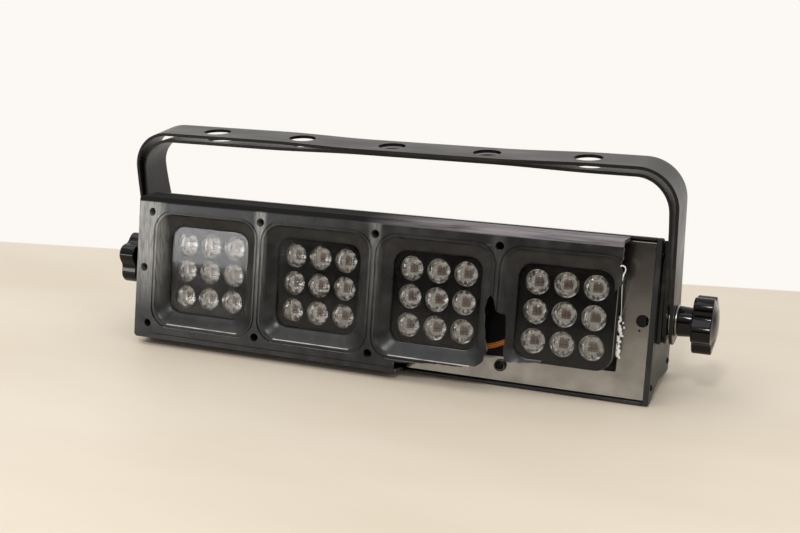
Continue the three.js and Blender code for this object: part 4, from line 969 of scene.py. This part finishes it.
def pod(number, x):
    """One pod: window, holder with nine bores, nine lenses on a carrier, board with nine emitters."""
    outline = square(HOLDER_HALF, HOLDER_HALF, HOLDER_CORNER, 12)
    window = softened(along_y(outline, WINDOW_FRONT, WINDOW_BACK), 0.25)
    for face in window.polygons:
        face.material_index = int(abs(face.normal.y) < 0.5)
    piece(f"window_sheet_{number}", moved(window, x), [WINDOW, SAWN_EDGE], replaces=[f"window_{number}"],
          slot="clear_window")

    holder = along_y(outline, HOLDER_FRONT, BOARD_FRONT - 0.3)
    half, corner = HOLDER_HALF - HOLDER_WALL, HOLDER_CORNER - HOLDER_WALL
    holder = carved(holder, [along_y(square(half, half, corner, 12), HOLDER_FACE_BACK, 0.0)])
    bore = rod(LENS_BORE, HOLDER_FRONT - 3.0, HOLDER_FACE_BACK + 3.0, steps=48)
    bores = grid_of(f"lens_bores_{number}", bore, HOLDER, LENS_PITCH)
    holder = softened(carved(holder, [bores]), 0.3)
    piece(f"lens_holder_moulding_{number}", moved(holder, x), HOLDER, replaces=[f"lens_holder_{number}"],
          slot="holder_black")

    gap = 0.3
    carrier = along_y(square(half - gap, half - gap, corner - gap, 12), -14.8, -13.5)
    seats = grid_of(f"lens_seats_{number}", rod(LENS_SEAT, -16.0, -12.0, steps=40), LENS, LENS_PITCH)
    fronts = grid_of(f"lens_fronts_{number}", lens_part(False), LENS, LENS_PITCH)
    cones = grid_of(f"lens_cones_{number}", lens_part(True), CONE, LENS_PITCH)
    lenses = merged([fronts, cones, carved(carrier, [seats])], [0, 1, 0], weld=0.0005)
    piece(f"lens_moulding_{number}", moved(lenses, x), [LENS, CONE],
          replaces=[f"lens_array_{number}"], slot="clear_lens", smooth=24.0)

    board = softened(along_y(square(38.4, 37.0, 11.0, 8), BOARD_FRONT, BOARD_BACK), 0.1)
    base = softened(brick(3.1, 3.1, -6.9, -5.85), 0.1)
    cup = merged([brick(w, h, -7.2, -6.85, a, b) for a, b, w, h in (
        (0.0, -2.9, 2.74, 0.15), (0.0, 2.9, 2.74, 0.15), (-2.9, 0.0, 0.15, 3.05), (2.9, 0.0, 0.15, 3.05))])
    places = (-DIE_PITCH, 0.0, DIE_PITCH)
    dice = merged([brick(DIE_HALF, DIE_HALF, -7.05, -6.85, a, b) for a in places for b in places])
    parts = {"bases": (base, SUBSTRATE), "cups": (cup, CUP), "dice": (dice, DIE)}
    emitters = [grid_of(f"led_{title}_{number}", *part, LENS_PITCH) for title, part in parts.items()]
    mesh = merged([board] + emitters, [0, 1, 2, 3])
    piece(f"led_board_parts_{number}", moved(mesh, x), [WHITE_BOARD, SUBSTRATE, CUP, DIE],
          replaces=[f"led_board_{number}"], slot="board_white")


def board_link(number, x):
    """Flat lead between two boards: three insulated wires side by side, bowed forwards."""
    wires = []
    for k in range(3):
        low, high = -33.0 + 1.5 * (k - 1), -26.0 + 1.5 * (k - 1)
        path = []
        for share in (i / 14 for i in range(15)):
            path.append(Vector((x - 11.75 + 23.5 * share, -5.1 - 2.3 * math.sin(math.pi * share) ** 0.8,
                                low + (high - low) * eased(share, 0.0, 1.0))))
        wires.append(tube(path, 0.62, 10))
    piece(f"board_link_wires_{number}", merged(wires, [0, 1, 0]), [WIRE, WIRE_YELLOW],
          replaces=[f"board_link_{number}"], slot="wire_orange", smooth=60.0)


# ---------------------------------------------------------------- bails and knobs

def bail(name, sizes, node):
    """A flat strap folded into a wide U; its crossbar is bowed and its left leg leans, by use."""
    w, reach, corner = sizes["outside"], sizes["reach"], sizes["corner"]
    t, foot, half = STRAP, -17.0, BAIL_WIDTH / 2
    strip = rounded([(w, foot), (w, reach, corner), (-w, reach, corner), (-w, foot), (-w + t, foot),
                     (-w + t, reach - t, corner - t), (w - t, reach - t, corner - t), (w - t, foot)], 20)
    strap = along_y(divided(strip, 6.0), -half, half)
    field = rounded([(-half, foot, 14.0), (half, foot, 14.0), (half, reach + 5), (-half, reach + 5)], 12)
    strap = carved(strap, [along_x(field, -w - 5, w + 5)], "INTERSECT")
    hole = rod(11.0, -6.0, 6.0, steps=64)
    hole.transform(Matrix.Rotation(math.pi / 2, 4, "X"))
    holes = [moved(hole, x, 0.0, reach) for x in BAIL_HOLES]
    holes += [moved(rod(STUD_HOLE, -8.0, 8.0, facing="X"), side * w) for side in (-1, 1)]
    strap = softened(carved(strap, holes), 0.4, segments=3)
    for vertex in strap.vertices:
        point = vertex.co
        high = max(0.0, min(1.0, (point.z - reach + 2 * t) / t))
        point.z += sizes["bow"] * eased(138.0 - abs(point.x - 30.0), 0.0, 84.0) * high
        left, right = eased(-point.x, 150.0, 225.0), eased(point.x, 150.0, 220.0)
        twist = sizes["left_lean"] + sizes["left_twist"] * (point.y / BAIL_WIDTH + 0.5)
        point.x -= left * eased(point.z, 25.0, 95.0) * twist
        point.x -= right * eased(point.z, 66.0, 110.0) * sizes["right_lean"]
    place = PIVOT @ Matrix.Rotation(math.radians(sizes["tilt"]), 4, "X")
    piece(name, strap, BAIL_PAINT, body=node, replaces=[node], slot="bail_paint", place=place)


def knob(side, name):
    """Five-lobed star knob: a low crown on a crisp rim, a scalloped head and a straight neck."""
    steps, turn, deep = 160, KNOB_TURNS[name], KNOB_SCALLOP
    profile = [(231.65, 4.6, 0.0), (231.65, 11.3, 0.0), (232.1, 11.8, 0.0), (241.6, 11.1, 0.0),
               (242.3, 11.4, 0.1), (242.7, 12.3, 0.4), (242.85, 14.0, 1.2), (242.9, 18.0, deep),
               (242.95, 21.7, deep), (243.2, 22.5, deep), (243.8, 23.0, deep), (250.0, 23.0, deep),
               (256.6, 23.0, deep), (257.25, 22.7, deep), (257.6, 22.0, deep), (257.75, 20.6, deep),
               (258.1, 18.8, deep * 0.85), (258.9, 16.0, deep * 0.5), (259.9, 12.0, 0.6),
               (260.5, 8.0, 0.1), (260.8, 4.0, 0.0), (260.85, 0.6, 0.0)]
    rings = []
    for x, size, scallop in profile:
        ring = []
        for k in range(steps):
            angle = 2 * math.pi * k / steps
            dip = ((1 - math.cos(5 * angle)) / 2) ** KNOB_LOBE_POWER * scallop
            radius = size * (KNOB_RADIUS - dip) / KNOB_RADIUS
            ring.append((x, radius * math.cos(angle + turn), radius * math.sin(angle + turn)))
        rings.append(ring)
    mesh = carved(skin(rings), [rod(4.35, 231.0, 243.3, facing="X")])
    if side < 0:
        mesh = flipped(mesh)
    piece(f"star_knob_{name}", mesh, KNOB, body=f"knob_{name}", replaces=[f"knob_{name}"],
          slot="knob_plastic", place=PIVOT, smooth=60.0)


def pivot_hardware(side, name):
    """Washers, stud and nut on the pivot axis, and the doubling plate behind the bails."""
    def seated(title, mesh, material, node, slot="zinc_steel", body="housing"):
        piece(title, flipped(mesh) if side < 0 else mesh, material, body=body, replaces=[node], slot=slot,
              place=PIVOT)

    for title, (low, high) in WASHERS.items():
        section = [(4.3, low), (4.3, high), (11.5, high), (12.0, high - 0.45), (12.0, low + 0.45),
                   (11.5, low)]
        seated(f"{title}_disc_{name}", turned(section, 48, closed=True, facing="X"), ZINC, f"{title}_{name}")
    thread = [(0.0, 203.2), (3.2, 203.2), (3.9, 204.0)]
    for k in range(30):
        thread += [(4.0, 204.4 + k * THREAD_PITCH), (3.5, 205.0 + k * THREAD_PITCH)]
    thread += [(3.9, 242.4), (3.2, 243.2), (0.0, 243.2)]
    seated(f"stud_{name}", turned(thread, 24, facing="X"), ZINC, f"pivot_stud_{name}", body=f"knob_{name}")
    nut = softened(along_x([(7.5 * across, 7.5 * up) for across, up in around(6)], *NUT), 0.5)
    nut = carved(nut, [rod(4.2, 200.0, 215.0, steps=24, facing="X")])
    seated(f"stud_nut_{name}", nut, ZINC, f"pivot_nut_{name}")

    plate = along_x(rounded(side_profile(1.2, 1.2, 0.0), 8), *DOUBLER)
    half = BAIL_WIDTH / 2
    field = block((210.0, PIVOT_Y - half, -17.0), (230.0, PIVOT_Y + half, RIM_HALF))
    plate = carved(plate, [field], "INTERSECT")
    plate = carved(plate, [moved(rod(STUD_HOLE, 215.0, 225.0, facing="X"), 0.0, PIVOT_Y)])
    plate = moved(softened(plate, 0.5, segments=3), 0.0, -PIVOT_Y)
    seated(f"pivot_doubler_{name}", plate, PAINT, f"pivot_plate_{name}", "black_paint")


# ---------------------------------------------------------------- back panel and its fittings

def back_panel():
    """The panel with its cut-outs, and the screws on its face and its fittings."""
    plate = along_y(square(112.0, 31.0, 3.0, 6), 87.3, PANEL_FACE)
    through = (80, 95)
    tools = [brick(14.3, 11.3, *through, INLET_X), brick(18.3, 7.3, *through, DISPLAY_X, DISPLAY_Z),
             rod(6.3, *through, FUSE_X, 0.0, 40)]
    tools += [rod(11.8, *through, x, 0.0, 48) for x in XLRS]
    tools += [rod(3.7, *through, x, BUTTON_Z, 32) for x in BUTTONS]
    plate = softened(carved(plate, tools), 0.25)
    piece("back_panel_sheet", plate, PAINT, replaces=["rear_panel"], slot="black_paint")
    places = [(x, PANEL_FACE, z) for x in (-107.5, -54.0, 24.0, 107.5) for z in (-26.5, 26.5)]
    places += [(INLET_X + x, INLET_FACE, 0.0) for x in (-20.0, 20.0)]
    places += [(x + sx * 9.6, XLR_FACE, -sx * 12.2) for x in XLRS for sx in (-1, 1)]
    heads = at_places("back_panel_screws", pan_screw(2.3, 1.5, outward=1), SCREW, places)
    piece("back_panel_screws", heads, SCREW, slot="black_paint")


def power_inlet():
    """Three-pin mains inlet: bevelled flange, keyed well and flat pins."""
    flange = softened(along_y(square(25.0, 12.0, 3.0, 6), SEAT, INLET_FACE), 0.6, segments=3)
    body = along_y(square(14.0, 11.0, 1.0, 4), 70.1, 91.0)
    well = along_y(rounded([(12, -8.4, 1.2), (12, 3.9, 1.0), (7.5, 8.4, 1.0), (-7.5, 8.4, 1.0),
                            (-12, 3.9, 1.0), (-12, -8.4, 1.2)], 5), 76.1, 97.0)
    shell = softened(carved(carved(flange, [body], "UNION"), [well]), 0.2)
    pin = softened(brick(1.0, 2.0, 74.5, 85.1), 0.35)
    pins = at_places("inlet_pins", pin, BRASS, [(-7.0, 0.0, -2.0), (0.0, 0.0, 2.0), (7.0, 0.0, -2.0)])
    mesh = merged([shell, pins], [0, 1])
    piece("mains_inlet", moved(mesh, INLET_X), [FITTING, BRASS], replaces=["power_inlet"],
          slot="black_plastic")


def fuse_holder():
    """Fuse cap with fine grips round it and a screwdriver slot."""
    grips = 96
    rings = []
    for radius, y in ((7.6, SEAT), (8.0, SEAT + 0.5), (8.0, 93.4), (7.5, 94.1)):
        dips = [radius * (1.0 - 0.035 * (k % 4 in (1, 2))) for k in range(grips)]
        rings.append([(dip * across, y, dip * up) for dip, (across, up) in zip(dips, around(grips))])
    cap = skin(rings)
    body = rod(6.0, 65.1, 92.0, steps=40)
    slot = block((-9.0, 92.5, -0.8), (9.0, 97.0, 0.8))
    mesh = carved(carved(cap, [body], "UNION"), [slot])
    piece("fuse_cap", moved(mesh, FUSE_X), FITTING, replaces=["fuse_holder"], slot="black_plastic")


def xlr(x, male):
    """Three-pole control connector; the one with holes has a latch at its top."""
    flange = softened(along_y(square(13.0, 15.5, 3.0, 6), SEAT, XLR_FACE), 0.5, segments=3)
    shell = carved(flange, [rod(11.5, 69.6, 91.2, steps=64)], "UNION")
    if male:
        shell = carved(shell, [rod(8.6, 77.6, 97.0, steps=64)])
        pin = turned([(0.0, 75.5), (1.2, 75.5), (1.2, 85.3), (0.9, 85.9), (0.0, 86.1)], 20)
        pins = at_places("control_input_pins", pin, BRASS, [(px, 0.0, pz) for px, pz in XLR_PINS])
        core = rod(8.4, 76.4, 78.2, steps=48)
        core = carved(core, [rod(1.25, 70.0, 90.0, px, pz, 20) for px, pz in XLR_PINS])
        mesh = merged([softened(shell, 0.2), pins, core], [0, 1, 2])
        piece("control_input", moved(mesh, x), [ZINC, BRASS, FITTING], replaces=["dmx_input"],
              slot="zinc_steel")
        return
    groove = carved(rod(9.6, 86.0, 97.0, steps=64), [rod(8.3, 80.0, 99.0, steps=64)])
    for tools in ([groove], [rod(1.35, 77.6, 97.0, px, pz, 20) for px, pz in XLR_PINS]):
        shell = carved(shell, tools)
    latch = softened(block((-3.6, 90.6, 9.8), (3.6, 92.8, 14.2)), 0.6, segments=3)
    mesh = merged([softened(shell, 0.2), latch], [0, 1])
    piece("control_output", moved(mesh, x), [FITTING, ZINC], replaces=["dmx_output"], slot="black_plastic")


def display():
    """Red window over four unlit seven-segment digits, on a board with four switches."""
    window = softened(brick(18.0, 7.0, 86.7, SEAT, DISPLAY_X, DISPLAY_Z), 0.35, segments=3)
    piece("display_filter", window, FILTER, replaces=["display_window"], slot="display_red")

    board = softened(brick(28.0, 24.0, 76.7, 78.3, DISPLAY_X), 0.1)
    posts = at_places("display_posts", rod(2.4, 78.0, 87.0, steps=20), CERAMIC,
                      four_corners(DISPLAY_X, 0.0, 24.0, 20.0))
    digits = softened(brick(17.7, 6.7, 77.5, 86.2, DISPLAY_X, DISPLAY_Z), 0.2)
    segment = [(-1.5, 0.0), (-1.1, 0.4), (1.1, 0.4), (1.5, 0.0), (1.1, -0.4), (-1.1, -0.4)]
    across = along_y(segment, 86.0, 86.4)
    upright = across.copy()
    upright.transform(Matrix.Rotation(math.pi / 2, 4, "Y"))
    middles = [DISPLAY_X + 8.4 * (i - 1.5) for i in range(4)]
    half = 1.95
    bars = at_places("digit_bars", across, SEGMENT,
                     [(x, 0.0, DISPLAY_Z + z) for x in middles for z in (-2 * half, 0.0, 2 * half)])
    sides = at_places("digit_sides", upright, SEGMENT, [(x + dx, 0.0, DISPLAY_Z + z) for x in middles
                                                        for dx in (-half, half) for z in (-half, half)])
    keys = at_places("board_switches", softened(brick(3.0, 3.0, 78.0, 81.8), 0.2), FITTING,
                     [(x, 0.0, BUTTON_Z) for x in BUTTONS])
    mesh = merged([board, posts, digits, bars, sides, keys], [0, 1, 2, 3, 3, 4])
    piece("display_board_parts", mesh, [GREEN_BOARD, CERAMIC, DIGIT, SEGMENT, FITTING],
          replaces=["display_board"], slot="board_green")
    cap = turned([(0.0, 82.9), (2.9, 82.9), (3.4, 83.3), (3.4, 85.5), (4.6, 85.5), (4.6, 87.0), (3.4, 87.0),
                  (3.4, 90.5), (3.15, 91.0), (2.6, 91.2), (1.6, 91.1), (0.0, 90.95)], 40)
    for number, x in enumerate(BUTTONS, 1):
        piece(f"button_cap_{number}", moved(cap, x, 0.0, BUTTON_Z), RUBBER, body=f"button_{number}",
              replaces=[f"button_{number}"], slot="black_plastic")


def safety_eye():
    """Forged eye on a collar and shank."""
    collar = softened(rod(7.0, 87.3, 89.7, steps=48), 0.4)
    shank = turned([(0.0, 84.7), (2.4, 84.7), (2.4, 90.2), (3.4, 89.6), (3.4, 89.0), (0.0, 89.0)], 32)
    middle, radius, wire = Vector((0.0, 97.7, 0.0)), 8.0, 2.35
    rings = [[tuple(middle + Vector((0.0, across, up)) * (radius + wire * out)
                    + Vector((wire * side, 0.0, 0.0)))
              for out, side in around(18)] for across, up in around(56)]
    neck = turned([(0.0, 88.9), (3.6, 88.9), (3.0, 90.2), (2.5, 91.6), (0.0, 91.6)], 32)
    mesh = merged([collar, shank, neck, skin(rings, closed=True)])
    piece("safety_eye_forging", moved(mesh, EYE_X, 0.0, EYE_Z), ZINC, replaces=["safety_eye"],
          slot="zinc_steel", smooth=50.0)


# ---------------------------------------------------------------- inside the housing

def heat_sink():
    """Extruded sink: base, long fins with rounded tips, and a pad behind each pod."""
    fin = along_x(rounded([(5.0, -0.9), (5.0, 0.9), (35.8, 0.7, 0.6), (35.8, -0.7, 0.6)], 4), -197.0, 197.0)
    pitch = 86.0 / 11
    fins = at_places("sink_fins", fin, SINK, [(0.0, 0.0, pitch * (i - 5.5)) for i in range(12)])
    base = softened(brick(211.0, 53.0, 1.8, 5.8), 0.5)
    pads = row_of("sink_pads", softened(brick(37.0, 37.0, -4.0, 2.4), 0.5), SINK, POD_PITCH, 4)
    piece("heat_sink_extrusion", merged([base, fins, pads]), SINK, replaces=["heat_sink"],
          slot="black_anodised")


def power_supply():
    """Sheet cage with a lipped lid, rows of vent holes and its screws."""
    x = -160.0
    cage = softened(brick(42.0, 40.0, 53.5, 84.7, x), 0.8)
    lid = softened(brick(43.2, 41.2, 51.5, 65.5, x), 0.8)
    vents = at_places("supply_vents", rod(1.6, 49.0, 54.5, steps=10), CAGE,
                      [(x + 6.0 * i, 0.0, 6.0 * k) for i in range(-5, 6) for k in range(-3, 4)])
    heads = at_places("supply_screws", pan_screw(2.2, 1.3), ZINC, four_corners(x, 51.5, 38.0, 36.0))
    mesh = merged([cage, carved(lid, [vents]), heads], [0, 0, 1])
    piece("power_supply_cage", mesh, [CAGE, ZINC], replaces=["power_supply"], slot="galvanised")


def control_board():
    """Control board on posts: chip, capacitors and a row of terminals."""
    x = 162.0
    board = softened(brick(40.0, 36.0, 73.1, 74.7, x), 0.1)
    posts = at_places("control_posts", rod(2.5, 73.5, 84.7, steps=20), CERAMIC,
                      four_corners(x, 0.0, 36.0, 32.0))
    chip = softened(brick(9.0, 9.0, 69.4, 73.4, x), 0.3)
    can = turned([(0.0, 62.5), (4.4, 62.5), (5.0, 63.1), (5.0, 73.3), (0.0, 73.3)], 28)
    cans = at_places("control_capacitors", can, CAGE, [(133.0, 0.0, z) for z in (20.0, 6.0, -8.0)])
    terminals = at_places("control_terminals", softened(brick(2.3, 3.5, 65.5, 73.3), 0.3), GREEN_BOARD,
                          [(182.0 + 5.0 * (i - 2), 0.0, 27.0) for i in range(5)])
    mesh = merged([board, posts, chip, cans, terminals], [0, 1, 2, 3, 0])
    piece("control_board_parts", mesh, [GREEN_BOARD, CERAMIC, FITTING, CAGE], replaces=["control_board"],
          slot="board_green")


# ---------------------------------------------------------------- build

camera()
backdrop()
lamp("overhead", (-0.6, -0.25, 1.7), (1.8, 1.4), 11.0)
lamp("key", (0.25, -1.3, 1.3), (0.22, 0.22), 9.0)
lamp("left_front", (-1.55, -1.75, 0.245), (1.06, 0.3), 9.5)
lamp("right_fill", (1.4, -0.9, 0.9), (0.8, 0.8), 3.0)

bezel()
boss_stub()
residue()
front_plate()
housing()
heat_sink()
power_supply()
control_board()
back_panel()
power_inlet()
fuse_holder()
xlr(XLRS[0], True)
xlr(XLRS[1], False)
display()
safety_eye()
for side, name in ((-1, "left"), (1, "right")):
    end_cap(side, name)
    knob(side, name)
    pivot_hardware(side, name)
for number, x in enumerate(PODS, 1):
    pod(number, x)
for number in (1, 2, 3):
    board_link(number, (number - 2) * POD_PITCH)
bail("outer_bail_strap", OUTER_BAIL, "outer_bail")
bail("inner_bail_strap", INNER_BAIL, "inner_bail")

finishes = {
    "black_paint": PAINT, "bail_paint": BAIL_PAINT, "black_plastic": FITTING, "holder_black": HOLDER,
    "knob_plastic": KNOB, "bare_steel": STEEL, "zinc_steel": ZINC, "black_anodised": SINK,
    "galvanised": CAGE, "clear_lens": LENS, "clear_window": WINDOW, "board_white": WHITE_BOARD,
    "board_green": GREEN_BOARD, "wire_orange": WIRE, "display_red": FILTER,
}
for part in frame["record"]["subparts"]:
    wear(part["node"], finishes[part["material_slot"]])
